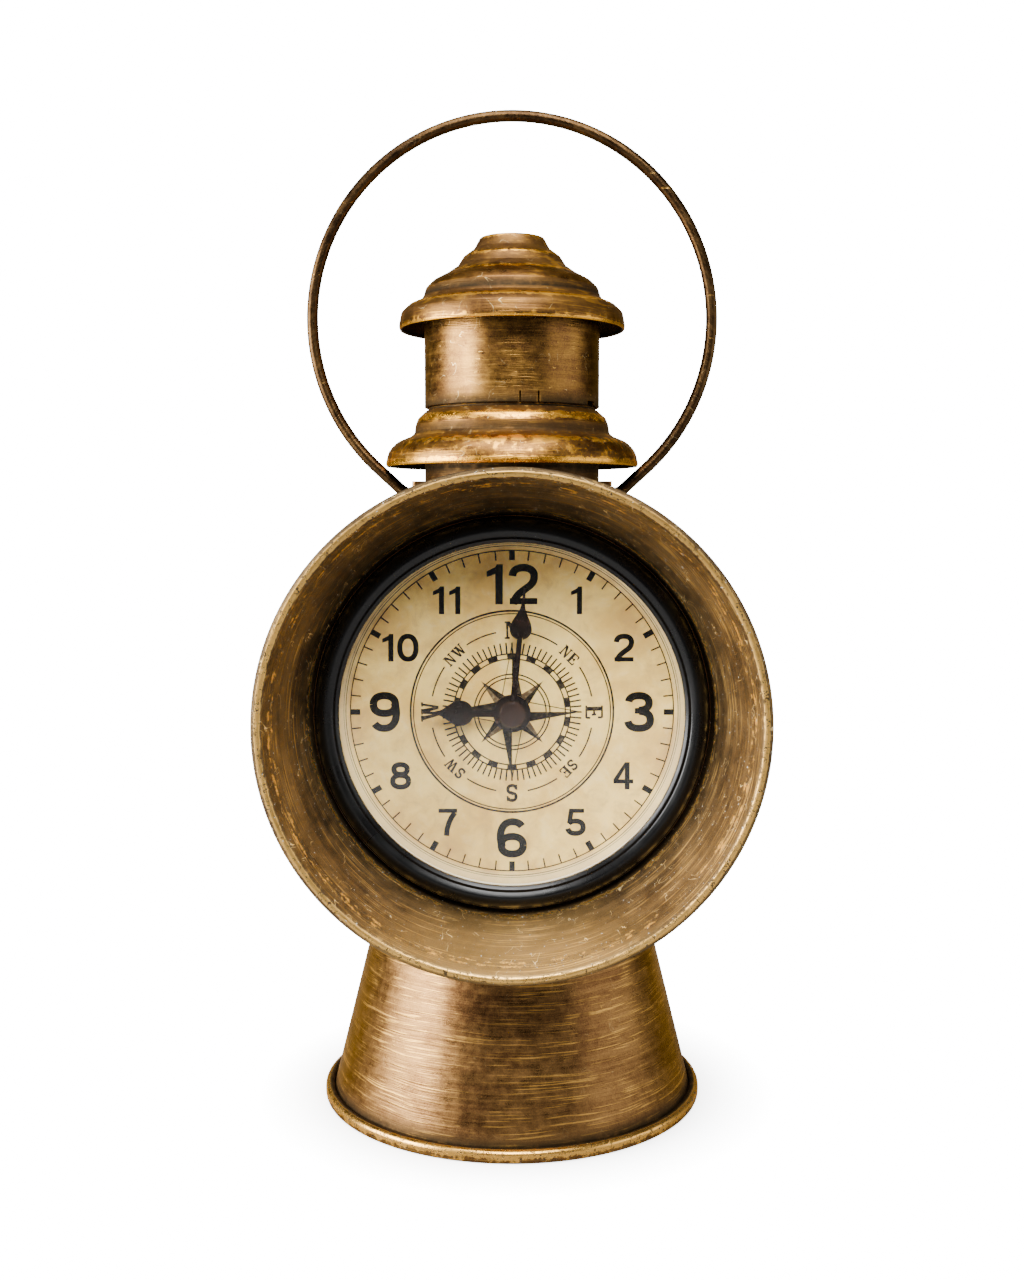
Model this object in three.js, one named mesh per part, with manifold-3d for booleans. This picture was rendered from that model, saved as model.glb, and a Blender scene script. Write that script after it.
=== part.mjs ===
// A table clock in the shape of a signal lantern. Millimetres, +Z up, the front faces -Y.
// The origin is the centre of the base pan's underside, on the axis of the column.
import * as THREE from 'three';
import { mergeVertices } from 'three/addons/utils/BufferGeometryUtils.js';
import Module from 'manifold-3d';

const wasm = await Module();
wasm.setup();

// Driving sizes of the sheet work
const sheet = 0.8; // wall of every spun or rolled sheet piece
const seat = 0.3; // gap where one piece rests on or in another
const overrun = 5; // how far a cutter runs past what it cuts
const weld = 0.0001; // corners nearer than this are one corner
const turns = 24; // flats round what is spun about the column
const wideTurns = 28; // flats round what is turned about the dial, and round the pan
const smallTurns = 8; // flats round a pin or a post
const boreTurns = 16; // flats round a running fit

const panRimHeight = 4.2;
const panRimRadius = 1.5;
const panPlay = 0.5; // between the cone's foot and the pan's rim

const coneFootRadius = 57.1;
const coneRise = 119.6; // slanted part, from foot to collar
const coneCollarHeight = 6;
const coneFlareHeight = 2.6;
const coneFlare = 0.6;

const columnRadius = 27;
const columnTop = 220.1; // above the table
const columnLap = 5; // how far the column reaches down inside the cone's collar and beyond

const hoodOverhang = 13.3; // brim beyond the column
const hoodHeight = 17.7;
const neckHeight = 9.5;
const neckBand = 0.8; // height of the shoulder that the chimney sleeve stands on

const sleeveHeight = 34.6;
const sleeveTabWidth = 5.2;
const sleeveTabHeight = 3.2;
const sleeveTabTurn = 0.19; // angle of the tab from the front, to the right
const sleeveSlot = 0.5;
const sleeveNotchWidth = 4.6;
const sleeveNotchHeight = 1.2;
const sleeveNotchTurn = 1.08;

const capCrownHeight = 19.8;
const capBrimHeight = 9.1; // brim and lip, below the part that fits round the sleeve
const capOverhang = 7.8;

// Driving sizes of the bail and its ears
const bailBar = 1.8; // radius of the bar
const bailClear = 23.1; // from the hood's brim out to the bar's middle
const bailGap = 0.75; // between the bar and the hood's brim
const bailPivotDrop = 8.5; // from the hood's lower edge down to the pivot
const bailBendReach = 2.2; // from the ear to the bend at the bar's end
const bailHead = 0.9; // how far the head stands out round the bar
const bailHeadRoom = 0.4; // between the head and the inside of the ear
const bailHeadLength = 1.8;
const bailPlay = 0.35;
const bailSteps = 30;
const bailSides = 8;
const earStandOff = 4; // inside height of the ear over the column
const earHalfWidth = 4.6;
const earHeight = 8;
const earFootTurn = 0.26; // angle that one foot covers on the column
const rivetRadius = 0.9;
const rivetHeadRadius = 1.7;
const rivetHeadHeight = 0.9;
const rivetPlay = 0.15;

// Driving sizes of the clock and its seat
const hoodGap = 14.3; // between the funnel's collar and the hood's lower edge
const drumLetIn = 13.2; // how deep the drum sits in the front of the column
const drumHem = 7; // depth of the turned-in edge that grips the insert
const drumRoom = 1.5; // free depth behind the setting knob
const funnelCollar = 6.2;
const funnelDepth = 32.4; // from the drum's mouth to the middle of the rolled rim
const funnelFlare = 11;
const funnelRim = 1.7; // radius of the rolled rim
const funnelPlay = 0.4; // round the bezel ring

const lensOpening = 50.9;
const ringBand = 7.8; // width of the bezel ring
const ringHeight = 5.1;
const ringSkirt = 1.6;
const rebateDepth = 2.5;
const rebateWidth = 2.4;
const lensEdge = 1.5;
const lensWall = 1.3;
const lensRise = 3.4;
const lensSteps = 4;
const spacerWall = 1;
const spacerLength = 6.1;
const dialSheet = 0.5;
const casePlastic = 1;
const skirtWall = 0.9;
const caseOpeningPlay = 0.6; // round the movement
const caseShoulder = 1;
const caseBackSheet = 1.2;
const gasketLength = 8;
const gasketProud = 0.8; // beyond the bezel ring's skirt
const gasketRib = 1.1;
const gasketRibs = 2;

// Driving sizes of the quartz movement
const boxDepth = 15.2;
const boxWall = 1.2;
const wheelRoom = 11.5; // from the hands' axis down to the partition over the battery
const coilRoom = 2.588; // between the coil and the top wall
const coverSheet = 1.3;
const movementProud = 0.8; // beyond the back of the insert case
const cushionSheet = 0.6;
const cushionRadius = 9;
const bushRadius = 3.9;
const bushBore = 2.6;
const bushPlay = 0.3;
const washerSheet = 0.4;
const washerRadius = 5.4;
const nutAcross = 9.2;
const nutHeight = 1.8;
const bushEnd = 0.3; // of the bush beyond the nut
const pipeRadius = 2.5; // of the hour wheel
const pipeBore = 1.58;
const minuteArborRadius = 1.45;
const arborRadius = 0.5;
const arborPlay = 0.1;
const bossRadius = 1.3;
const bearingDepth = 0.6;
const middleSheet = 1;
const postRadius = 1.2;
const middleClear = 1; // between the middle plate and the circuit board
const middleMargin = 6.8; // between the middle plate and the right wall

const motionDistance = 10; // from the hands' axis to the setting arbor
const trainDistance = 9; // from the hands' axis to the third wheel
const secondsDistance = 6.3; // from the hands' axis to the fifth wheel
const fifthDistance = 6.3; // from the fifth wheel to the rotor
const minutePinionTeeth = 12;
const settingTeeth = 36;
const settingPinionTeeth = 10;
const hourTeeth = 40;
const trainPinionTeeth = 6;
const centreTeeth = 48;
const thirdTeeth = 45;
const secondsTeeth = 30;
const fifthTeeth = 36;
const wheelSheet = 0.8;
const wheelGap = 0.4; // between two layers of wheels
const thirdTurn = 2.3562; // direction of the third wheel from the hands' axis
const fifthTurn = 1.0472;
const rotorTurn = 1.0472; // direction of the rotor from the fifth wheel
const magnetRadius = 2.6;
const magnetHeight = 2.2;
const magnetGap = 0.5;
const settingArborRadius = 1;

const coilRadius = 3;
const coilFlange = 3.4;
const coilFlangeSheet = 0.8;
const coilLength = 22;
const coilBore = 1.3;
const coreSheet = 1;
const coreWidth = 1.8;
const coreLap = 3.5; // of the stator's legs on the core
const statorSheet = 1;
const statorWeb = 0.6;
const coilClear = 1.8; // between the stator's bar and the coil

const boardSheet = 1;
const boardWidth = 10.5;
const boardHeight = 34;
const crystalRadius = 1;
const crystalLength = 6;
const batteryRadius = 7.25;
const batteryLength = 49.5;
const batteryNubRadius = 2.75;
const batteryNub = 1;
const contactSheet = 0.5;
const contactHeight = 8;
const contactBow = 0.9; // reach of the spring contact towards the battery
const knobRadius = 4.5;
const knobHeight = 2.2;
const knobNotches = 12;
const knobNotch = 0.5;

// Driving sizes of the hands
const hourHandLength = 26.5;
const hourHandHub = 5.6;
const minuteHandLength = 37.9;
const minuteHandHub = 3.4;
const handSheet = 0.5;
const handGap = 0.8; // between one hand and the next
const handPlay = 0.1;
const capNutRadius = 3.95;
const capNutHeight = 1.6;
const minuteHandTurn = 0.101; // clockwise from twelve o'clock
const hourHandTurn = 1.5 * Math.PI + minuteHandTurn / 12; // just past nine o'clock

// Radii of the clock insert and its seat, from the lens opening outwards
const ringRadius = lensOpening + ringBand;
const rebateRadius = lensOpening + rebateWidth;
const lensRadius = rebateRadius - seat;
const caseInner = rebateRadius + seat;
const caseRadius = caseInner + casePlastic;
const skirtInner = caseRadius + seat;
const skirtRadius = skirtInner + skirtWall;
const gasketRadius = skirtRadius + gasketProud;
const mouthRadius = gasketRadius + seat;
const throatRadius = ringRadius + funnelPlay;
const drumRadius = throatRadius - seat;
const dialRadius = caseInner - seat;

// Places along the clock's axis: 0 is the drum's mouth, and the front is negative
const ringBack = -seat;
const rebateFace = ringBack - rebateDepth;
const lensFront = rebateFace + seat;
const lensBack = lensFront + lensEdge;
const spacerFront = lensBack + seat;
const spacerBack = spacerFront + spacerLength;
const dialFront = spacerBack + seat;
const dialBack = dialFront + dialSheet;
const shoulderFace = dialBack + seat;
const cushionBack = shoulderFace + cushionSheet;
const boxFront = cushionBack + seat;
const boxBack = boxFront + boxDepth;
const caseBack = boxBack - movementProud;
const knobFront = boxBack + seat;
const knobBack = knobFront + knobHeight;
const drumDepth = knobBack + drumRoom + sheet;
const washerFront = dialFront - seat - washerSheet;
const nutFront = washerFront - seat - nutHeight;
const bushFront = nutFront - bushEnd;
const hourHandBack = bushFront - handGap / 2;
const minuteHandBack = hourHandBack - handSheet - handGap;
const capNutBack = minuteHandBack - handSheet - seat;
const mouthPlace = -(columnRadius - drumLetIn) - drumDepth;

// Layers of the movement, from its front plate to its back cover
const plateInner = boxFront + boxWall;
const coverFront = boxBack - coverSheet;
const hourLayer = plateInner + wheelGap;
const minuteLayer = hourLayer + wheelSheet + wheelGap;
const centreLayer = minuteLayer + wheelSheet + wheelGap;
const middleFront = centreLayer + wheelSheet + wheelGap;
const middleBack = middleFront + middleSheet;
const thirdLayer = middleBack + wheelGap;
const secondsLayer = thirdLayer + wheelSheet + wheelGap;
const fifthLayer = secondsLayer + wheelSheet + wheelGap;
const magnetFront = fifthLayer + wheelSheet + wheelGap;
const magnetBack = magnetFront + magnetHeight;
const bossFront = magnetBack + seat;
const statorFront = (magnetFront + magnetBack - statorSheet) / 2;
const coilAxisDepth = statorFront - seat - coreSheet / 2;
const frontPivot = plateInner - bearingDepth + arborPlay;
const middlePivot = middleBack - middleSheet / 2 + arborPlay;
const rearPivot = coverFront + bearingDepth - arborPlay;
const boardBack = coverFront - seat;
const batteryDepth = plateInner + seat + batteryRadius;

// Places across the movement, right and up from the hands' axis
const boxInner = (batteryLength + batteryNub + contactBow + 2 * contactSheet + 4 * seat) / 2;
const boxSide = boxInner + boxWall;
const partitionTop = -wheelRoom;
const partitionBottom = partitionTop - boxWall;
const batteryUp = partitionBottom - seat - batteryRadius;
const boxBottom = batteryUp - batteryRadius - seat - boxWall;
const handsAxis = { right: 0, up: 0 };
const setting = { right: motionDistance, up: 0 };
const third = placeAt(0, 0, thirdTurn, trainDistance);
const fifth = placeAt(0, 0, fifthTurn, secondsDistance);
const rotor = placeAt(fifth.right, fifth.up, rotorTurn, fifthDistance);
const statorHole = magnetRadius + magnetGap;
const statorBottom = rotor.up - statorHole - statorWeb;
const statorTop = rotor.up + statorHole + statorWeb;
const coilUp = statorTop + coilClear + coilFlange;
const boxTop = coilUp + coilFlange + coilRoom + boxWall;
const coreHalf = coilLength / 2 + wheelGap + coreLap;
const batteryRight = boxInner - 2 * seat - contactSheet;
const batteryLeft = batteryRight - batteryLength - batteryNub;
const boardLeft = -boxInner + seat;
const middleLeft = boardLeft + boardWidth + middleClear;
const middleEdges = {
  left: middleLeft, right: boxInner - middleMargin, bottom: partitionTop + seat, top: statorTop,
};
const middleCorners = ['left', 'right'].flatMap((side) => ['bottom', 'top'].map((level) => ({
  right: middleEdges[side] + (side === 'left' ? postRadius : -postRadius),
  up: middleEdges[level] + (level === 'bottom' ? postRadius : -postRadius),
})));

// Heights of the case above the table
const coneFoot = sheet + seat;
const coneTop = coneFoot + coneRise;
const columnBottom = coneTop - columnLap;
const hoodTop = columnTop + seat + sheet;
const hoodBottom = hoodTop - hoodHeight;
const hoodRadius = columnRadius + hoodOverhang;
const bailRadius = hoodRadius + bailClear; // of the bar's middle
const panRadius = coneFootRadius + coneFlare + panPlay + 2 * panRimRadius;
const sleeveBottom = hoodTop + neckBand + seat;
const sleeveTop = sleeveBottom + sleeveHeight;
const collarRadius = columnRadius + seat + sheet;
const bailPivotHeight = hoodBottom - bailPivotDrop;
const axisHeight = hoodBottom - hoodGap - throatRadius - sheet; // of the dial's centre

// The lower hood's moulding: shares of its overhang and of its height
const hoodShares = [
  [0.02, 1], [0.225, 0.864], [0.28, 0.75], [0.31, 0.6], [0.4, 0.54],
  [0.72, 0.44], [0.93, 0.28], [1, 0.05], [0.97, 0],
];
const hoodWidestShare = 0.05;
// The cap's crown: shares of the collar's radius and of the crown's height
const crownShares = [
  [0.36, 1], [0.43, 0.82], [0.548, 0.697], [0.616, 0.545],
  [0.745, 0.42], [0.893, 0.308], [0.972, 0.197], [1, 0.066],
];
// The cap's brim: shares of its overhang and of its height
const brimShares = [[0.12, 1], [0.6, 0.82], [0.9, 0.58], [1, 0.12], [0.95, 0]];
// The bezel ring's front: shares of its band and of its height
const ringShares = [
  [0, 0.76], [0.13, 0.9], [0.22, 0.83], [0.42, 1], [0.68, 0.93], [0.92, 0.5], [1, 0],
];
// Half outlines of the spade hands: shares of the hand's length, across and along
const hourHandShares = [
  [0.041, 0.2], [0.041, 0.435], [0.105, 0.475], [0.141, 0.55], [0.133, 0.63], [0.09, 0.705], [0.035, 0.79],
  [0.016, 0.87], [0.01, 0.985],
];
const minuteHandShares = [
  [0.025, 0.08], [0.0205, 0.585], [0.058, 0.615], [0.086, 0.676], [0.07, 0.73], [0.036, 0.795],
  [0.015, 0.856], [0.007, 0.99],
];
// A pointed gear tooth: shares of the module for its root and tip, and of the pitch for half of its foot;
// a wheel's teeth meet at their feet, and a pinion's leaves stand apart
const toothShares = { root: 1.15, tip: 0.75, wheelHalf: 0.5, leafHalf: 0.27 };
// The bend at each end of the bail: share of the bar's radius
const bendShare = 0.75;
// Half of the bow in the battery's spring contact: share of its depth
const bowShare = 0.2;

function placeAt(right, up, turn, distance) {
  return { right: right + distance * Math.cos(turn), up: up + distance * Math.sin(turn) };
}

// The same surface with shared corners, no flat triangles and its faces pointing out
function closed(geometry) {
  const bare = new THREE.BufferGeometry();
  bare.setAttribute('position', geometry.getAttribute('position').clone());
  if (geometry.index) bare.setIndex(geometry.index.clone());
  const merged = mergeVertices(bare, weld);
  const position = merged.getAttribute('position');
  const index = merged.index.array;
  const kept = [];
  let volume = 0;
  const [a, b, c] = [new THREE.Vector3(), new THREE.Vector3(), new THREE.Vector3()];
  for (let i = 0; i < index.length; i += 3) {
    const [p, q, r] = [index[i], index[i + 1], index[i + 2]];
    if (p === q || q === r || r === p) continue;
    kept.push(p, q, r);
    a.fromBufferAttribute(position, p);
    b.fromBufferAttribute(position, q);
    c.fromBufferAttribute(position, r);
    volume += a.dot(b.cross(c));
  }
  if (volume < 0) kept.reverse();
  merged.setIndex(kept);
  return merged;
}

function solid(geometry) {
  const body = closed(geometry);
  return new wasm.Manifold(new wasm.Mesh({
    numProp: 3,
    vertProperties: Float32Array.from(body.getAttribute('position').array),
    triVerts: Uint32Array.from(body.index.array),
  }));
}

function joined(first, ...others) {
  return others.reduce((whole, next) => whole.add(solid(next)), solid(first));
}

function cut(whole, ...tools) {
  return tools.reduce((rest, tool) => rest.subtract(solid(tool)), whole);
}

function surface(manifold) {
  const mesh = manifold.getMesh();
  const geometry = new THREE.BufferGeometry();
  geometry.setAttribute('position', new THREE.BufferAttribute(mesh.vertProperties, 3));
  geometry.setIndex(new THREE.BufferAttribute(mesh.triVerts, 1));
  return geometry;
}

// Turned about the clock's axis, Y, from a profile of [radius, place]
function turned(profile, sides = wideTurns) {
  const points = profile.map(([radius, place]) => new THREE.Vector2(radius, place));
  return closed(new THREE.LatheGeometry(points, sides));
}

// Turned about the column's axis, Z, from a profile of [radius, height]
function spun(profile, sides = turns) {
  return turned(profile, sides).rotateX(Math.PI / 2);
}

function ring(profile) {
  return [...profile, profile[0]];
}

// A round rod along Y
function rod(radius, front, back, at = handsAxis, sides = smallTurns) {
  const body = new THREE.CylinderGeometry(radius, radius, back - front, sides);
  return body.translate(at.right, (front + back) / 2, at.up);
}

function block(left, right, front, back, bottom, top) {
  const body = new THREE.BoxGeometry(right - left, back - front, top - bottom);
  return body.translate((left + right) / 2, (front + back) / 2, (bottom + top) / 2);
}

// A flat plate that faces the front, from an outline drawn right and up
function plate(shape, front, back, at = handsAxis) {
  const body = new THREE.ExtrudeGeometry(shape, { depth: back - front, bevelEnabled: false });
  return closed(body).rotateX(Math.PI / 2).translate(at.right, back, at.up);
}

function outline(points) {
  return new THREE.Shape(points.map(([right, up]) => new THREE.Vector2(right, up)));
}

function circlePoints(radius, sides, at = handsAxis) {
  return Array.from({ length: sides }, (_, i) => {
    const turn = (i / sides) * 2 * Math.PI;
    return [at.right + radius * Math.cos(turn), at.up + radius * Math.sin(turn)];
  });
}

function withHoles(shape, ...holes) {
  for (const hole of holes) shape.holes.push(outline(hole));
  return shape;
}

// A profile and its inner side, one sheet thickness in, as a closed outline
function sheetProfile(outer, wall) {
  const inner = outer.map((point, i) => {
    const before = outer[Math.max(i - 1, 0)];
    const after = outer[Math.min(i + 1, outer.length - 1)];
    const across = [after[0] - before[0], after[1] - before[1]];
    const length = Math.hypot(...across);
    return [Math.max(point[0] + (across[1] / length) * wall, 0), point[1] - (across[0] / length) * wall];
  });
  return { outer, inner: inner.reverse() };
}

// A round bar bent in the plane of X and Z, through the given stations
function bentBar(stations, radius, sides) {
  const corners = [];
  const faces = [];
  const last = stations.length - 1;
  stations.forEach((here, i) => {
    const before = stations[Math.max(i - 1, 0)];
    const after = stations[Math.min(i + 1, last)];
    const along = new THREE.Vector2(after[0] - before[0], after[1] - before[1]).normalize();
    for (let s = 0; s < sides; s++) {
      const turn = ((s + 0.5) / sides) * 2 * Math.PI;
      const out = radius * Math.cos(turn);
      corners.push(here[0] - along.y * out, radius * Math.sin(turn), here[1] + along.x * out);
    }
  });
  const corner = (i, s) => i * sides + (s % sides);
  for (let i = 0; i < last; i++) {
    for (let s = 0; s < sides; s++) {
      faces.push(corner(i, s), corner(i, s + 1), corner(i + 1, s));
      faces.push(corner(i, s + 1), corner(i + 1, s + 1), corner(i + 1, s));
    }
  }
  for (let s = 1; s < sides - 1; s++) {
    faces.push(corner(0, 0), corner(0, s + 1), corner(0, s));
    faces.push(corner(last, 0), corner(last, s), corner(last, s + 1));
  }
  const geometry = new THREE.BufferGeometry();
  geometry.setAttribute('position', new THREE.Float32BufferAttribute(corners, 3));
  geometry.setIndex(faces);
  return closed(geometry);
}

// Teeth that stand on a line between two wheels: one has a tooth there, the other a gap
function gapPhase(turn, teeth) {
  return turn + Math.PI + Math.PI / teeth;
}

function gearPoints(teeth, distance, otherTeeth, phase) {
  const size = (2 * distance) / (teeth + otherTeeth);
  const pitch = (2 * Math.PI) / teeth;
  const rootRadius = size * (teeth / 2 - toothShares.root);
  const tipRadius = size * (teeth / 2 + toothShares.tip);
  const corners = teeth > otherTeeth
    ? [[tipRadius, 0], [rootRadius, toothShares.wheelHalf]]
    : [[rootRadius, -toothShares.leafHalf], [tipRadius, 0], [rootRadius, toothShares.leafHalf]];
  return Array.from({ length: teeth }, (_, tooth) => corners.map(([radius, share]) => {
    const turn = phase + (tooth + share) * pitch;
    return [radius * Math.cos(turn), radius * Math.sin(turn)];
  })).flat();
}

function arc(centre, radius, from, to, steps) {
  return Array.from({ length: steps + 1 }, (_, i) => {
    const turn = from + ((to - from) * i) / steps;
    return [centre[0] + radius * Math.cos(turn), centre[1] + radius * Math.sin(turn)];
  });
}

// A spun dish whose edge is rolled over into a rim
function basePan() {
  const middle = panRadius - panRimRadius;
  const quarter = Math.PI / 2;
  return spun([
    [0, 0],
    ...arc([middle, panRimRadius], panRimRadius, -quarter, 0, 2),
    ...arc([middle, panRimHeight - panRimRadius], panRimRadius, 0, 2 * quarter, 4),
    [middle - panRimRadius, sheet],
    [0, sheet],
  ], wideTurns);
}

// What the drum and the funnel's collar take out of the cone and the column
function drumCutter() {
  const wide = drumRadius + sheet + 2 * seat;
  const profile = [
    [0, -overrun - columnRadius], [wide, -overrun - columnRadius],
    [wide, funnelCollar + seat], [drumRadius + seat, funnelCollar + seat],
    [drumRadius + seat, drumDepth + seat], [0, drumDepth + seat],
  ];
  return turned(profile).translate(0, mouthPlace, axisHeight);
}

// The skirt: a rolled cone with a flared foot, and a collar round the column
function baseCone() {
  const inner = columnRadius + seat;
  const flareTop = coneFoot + coneFlareHeight;
  const whole = solid(spun(ring([
    [coneFootRadius + coneFlare, coneFoot], [coneFootRadius, flareTop],
    [collarRadius, coneTop], [collarRadius, coneTop + coneCollarHeight],
    [inner, coneTop + coneCollarHeight], [inner, coneTop],
    [coneFootRadius - sheet, flareTop], [coneFootRadius + coneFlare - sheet, coneFoot],
  ])));
  return surface(cut(whole, drumCutter()));
}

// Turns of the ear's leg and foot round the column, from the pivot's axis
const earFootRadius = columnRadius + seat;
const earLegTurn = Math.asin(earHalfWidth / (earFootRadius + sheet));
const earFootEnd = earLegTurn + earFootTurn;
const rivetTurn = (earLegTurn + earFootEnd) / 2;
const earInside = columnRadius + earStandOff;
const earOutside = earInside + sheet;

function aroundColumn(geometry, turn) {
  return geometry.rotateZ(turn);
}

// A hole for a rivet, along X through one wall
function rivetHole() {
  const hole = new THREE.CylinderGeometry(rivetRadius + rivetPlay, rivetRadius + rivetPlay, columnRadius, smallTurns);
  return hole.rotateZ(Math.PI / 2).translate(columnRadius, 0, bailPivotHeight);
}

const rivetPlaces = [
  { name: 'right_front', turn: -rivetTurn }, { name: 'right_back', turn: rivetTurn },
  { name: 'left_back', turn: Math.PI - rivetTurn }, { name: 'left_front', turn: Math.PI + rivetTurn },
];

function bodyColumn() {
  const inner = columnRadius - sheet;
  const whole = solid(spun(ring([
    [columnRadius, columnBottom], [columnRadius, columnTop], [inner, columnTop], [inner, columnBottom],
  ])));
  const holes = rivetPlaces.map(({ turn }) => aroundColumn(rivetHole(), turn));
  return surface(cut(whole, drumCutter(), ...holes));
}

// The lower hood: a spun shade in two steps, with a neck for the chimney sleeve
function lowerHood() {
  const neck = columnRadius - sheet - seat;
  const band = (neck + columnRadius) / 2 + seat;
  const moulding = hoodShares.map(([across, up]) => [
    columnRadius + hoodOverhang * across, hoodBottom + hoodHeight * up,
  ]);
  const { outer, inner } = sheetProfile(moulding, sheet);
  inner[inner.length - 1] = [columnRadius + seat, hoodTop - sheet];
  return spun(ring([
    [neck, hoodTop + neckHeight], [neck, hoodTop + neckBand], [band, hoodTop + neckBand], [band, hoodTop],
    ...outer, ...inner, [neck - sheet, hoodTop - sheet], [neck - sheet, hoodTop + neckHeight],
  ]));
}

// The chimney sleeve: a tube with a locking tab between two slots, and a notch
function chimneySleeve() {
  const inner = columnRadius - sheet;
  const tube = solid(spun(ring([
    [columnRadius, sleeveBottom], [columnRadius, sleeveTop], [inner, sleeveTop], [inner, sleeveBottom],
  ])));
  const edgeCut = (middle, width, height) => block(
    middle - width / 2, middle + width / 2, -columnRadius - seat, -inner + sheet,
    sleeveBottom - seat, sleeveBottom + height,
  );
  const besideTab = (sleeveTabWidth + sleeveSlot) / 2;
  return surface(cut(
    tube,
    edgeCut(-besideTab, sleeveSlot, sleeveTabHeight).rotateZ(sleeveTabTurn),
    edgeCut(besideTab, sleeveSlot, sleeveTabHeight).rotateZ(sleeveTabTurn),
    edgeCut(0, sleeveTabWidth, seat).rotateZ(sleeveTabTurn),
    edgeCut(0, sleeveNotchWidth, sleeveNotchHeight).rotateZ(sleeveNotchTurn),
  ));
}

// The chimney cap: a spun shell in three steps with a deep brim, open underneath
function chimneyCap() {
  const shoulder = crownShares[crownShares.length - 1][1];
  const brimTop = sleeveTop - shoulder * capCrownHeight;
  const crown = crownShares.map(([across, up]) => [collarRadius * across, brimTop + capCrownHeight * up]);
  const brim = brimShares.map(([across, up]) => [
    collarRadius + capOverhang * across, brimTop + capBrimHeight * (up - 1),
  ]);
  const { outer, inner } = sheetProfile([[0, brimTop + capCrownHeight], ...crown, ...brim], sheet);
  return spun([...outer, ...inner]);
}

// A strap bent over the end of the bail, seen from above, with its feet round the column
function bailEar() {
  const outside = earFootRadius + sheet;
  const half = earHalfWidth - sheet;
  const innerLeg = Math.asin(half / earFootRadius);
  const upper = [
    ...arc([0, 0], outside, earFootEnd, earLegTurn, 3), [earOutside, earHalfWidth],
  ];
  const lower = [
    [earInside, half], ...arc([0, 0], earFootRadius, innerLeg, earFootEnd, 4),
  ];
  const mirrored = (points) => points.map(([x, y]) => [x, -y]).reverse();
  const strap = new THREE.ExtrudeGeometry(outline([...upper, ...mirrored(upper), ...mirrored(lower), ...lower]), {
    depth: earHeight, bevelEnabled: false,
  }).translate(0, 0, bailPivotHeight - earHeight / 2);
  const eye = new THREE.CylinderGeometry(bailBar + bailPlay, bailBar + bailPlay, 2 * earStandOff, smallTurns);
  eye.rotateZ(Math.PI / 2).translate(earOutside, 0, bailPivotHeight);
  const holes = [-rivetTurn, rivetTurn].map((turn) => aroundColumn(rivetHole(), turn));
  return surface(cut(solid(strap), eye, ...holes));
}

// A rivet along X: a domed head on the ear's foot, and its shank through foot and column
function rivet() {
  const base = earFootRadius + sheet + seat;
  const inside = columnRadius - 2 * sheet;
  return turned([
    [0, inside], [rivetRadius, inside], [rivetRadius, base], [rivetHeadRadius, base],
    [rivetHeadRadius, base + rivetHeadHeight / 3], [rivetHeadRadius / 2, base + rivetHeadHeight],
    [0, base + rivetHeadHeight],
  ], smallTurns).rotateZ(-Math.PI / 2).translate(0, 0, bailPivotHeight);
}

// The bail: a round bar bent to a ring, with straight ends and a clinched head inside each ear
function bailHandle() {
  const brimHeight = hoodBottom + hoodWidestShare * hoodHeight;
  const reach = bailRadius - bailBar - bailGap;
  const middle = brimHeight + Math.sqrt(reach * reach - hoodRadius * hoodRadius);
  const bend = [earOutside + bailBendReach, bailPivotHeight];
  const drop = bend[1] - middle;
  const toBend = Math.hypot(bend[0], drop);
  const start = Math.atan2(drop, bend[0]) + Math.acos(bailRadius / toBend);
  const hoop = arc([0, middle], bailRadius, start, Math.PI - start, bailSteps);
  const slope = new THREE.Vector2(hoop[0][0] - bend[0], hoop[0][1] - bend[1]).normalize();
  const corner = bailBar * bendShare;
  const bendIn = [bend[0] - corner, bend[1]];
  const bendOut = [bend[0] + slope.x * corner, bend[1] + slope.y * corner];
  const bendMiddle = [(bendIn[0] + bendOut[0] + 2 * bend[0]) / 4, (bendIn[1] + bendOut[1] + 2 * bend[1]) / 4];
  const headOutside = earInside - bailHeadRoom;
  const headInside = headOutside - bailHeadLength;
  const end = [[headInside + bailHeadLength / 2, bend[1]], bendIn, bendMiddle, bendOut];
  const mirrored = end.map(([x, z]) => [-x, z]).reverse();
  const head = () => new THREE.CylinderGeometry(bailBar + bailHead, bailBar + bailHead, bailHeadLength, smallTurns)
    .rotateZ(Math.PI / 2).translate((headInside + headOutside) / 2, 0, bailPivotHeight);
  const bar = bentBar([...end, ...hoop, ...mirrored], bailBar, bailSides);
  return surface(joined(bar, head(), head().rotateZ(Math.PI)));
}

// The drum: a shallow can whose mouth is turned in to grip the insert
function clockDrum() {
  const inner = drumRadius - sheet;
  return turned([
    [0, drumDepth], [drumRadius, drumDepth], [drumRadius, 0], [mouthRadius, 0], [mouthRadius, drumHem],
    [inner, drumHem], [inner, drumDepth - sheet], [0, drumDepth - sheet],
  ]);
}

// The funnel: a spun cone with a rolled rim, and a collar over the drum
function frontFunnel() {
  const rim = [throatRadius + funnelFlare, -funnelDepth];
  const slant = Math.atan2(funnelFlare, funnelDepth) - Math.asin(funnelRim / Math.hypot(funnelFlare, funnelDepth));
  const along = [Math.sin(slant), -Math.cos(slant)];
  const out = [Math.cos(slant), Math.sin(slant)];
  const rollEnd = Math.PI + Math.asin((funnelRim - sheet) / funnelRim);
  const roll = arc([0, 0], funnelRim, -Math.PI / 2, rollEnd, 7)
    .map(([front, side]) => [
      rim[0] + along[0] * front + out[0] * side, rim[1] + along[1] * front + out[1] * side,
    ]);
  const run = sheet * Math.tan(slant / 2);
  const corner = [throatRadius + sheet, sheet * out[1] + run * along[1]];
  return turned(ring([
    [throatRadius, funnelCollar], [throatRadius, 0], ...roll, corner, [throatRadius + sheet, funnelCollar],
  ]));
}

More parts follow.
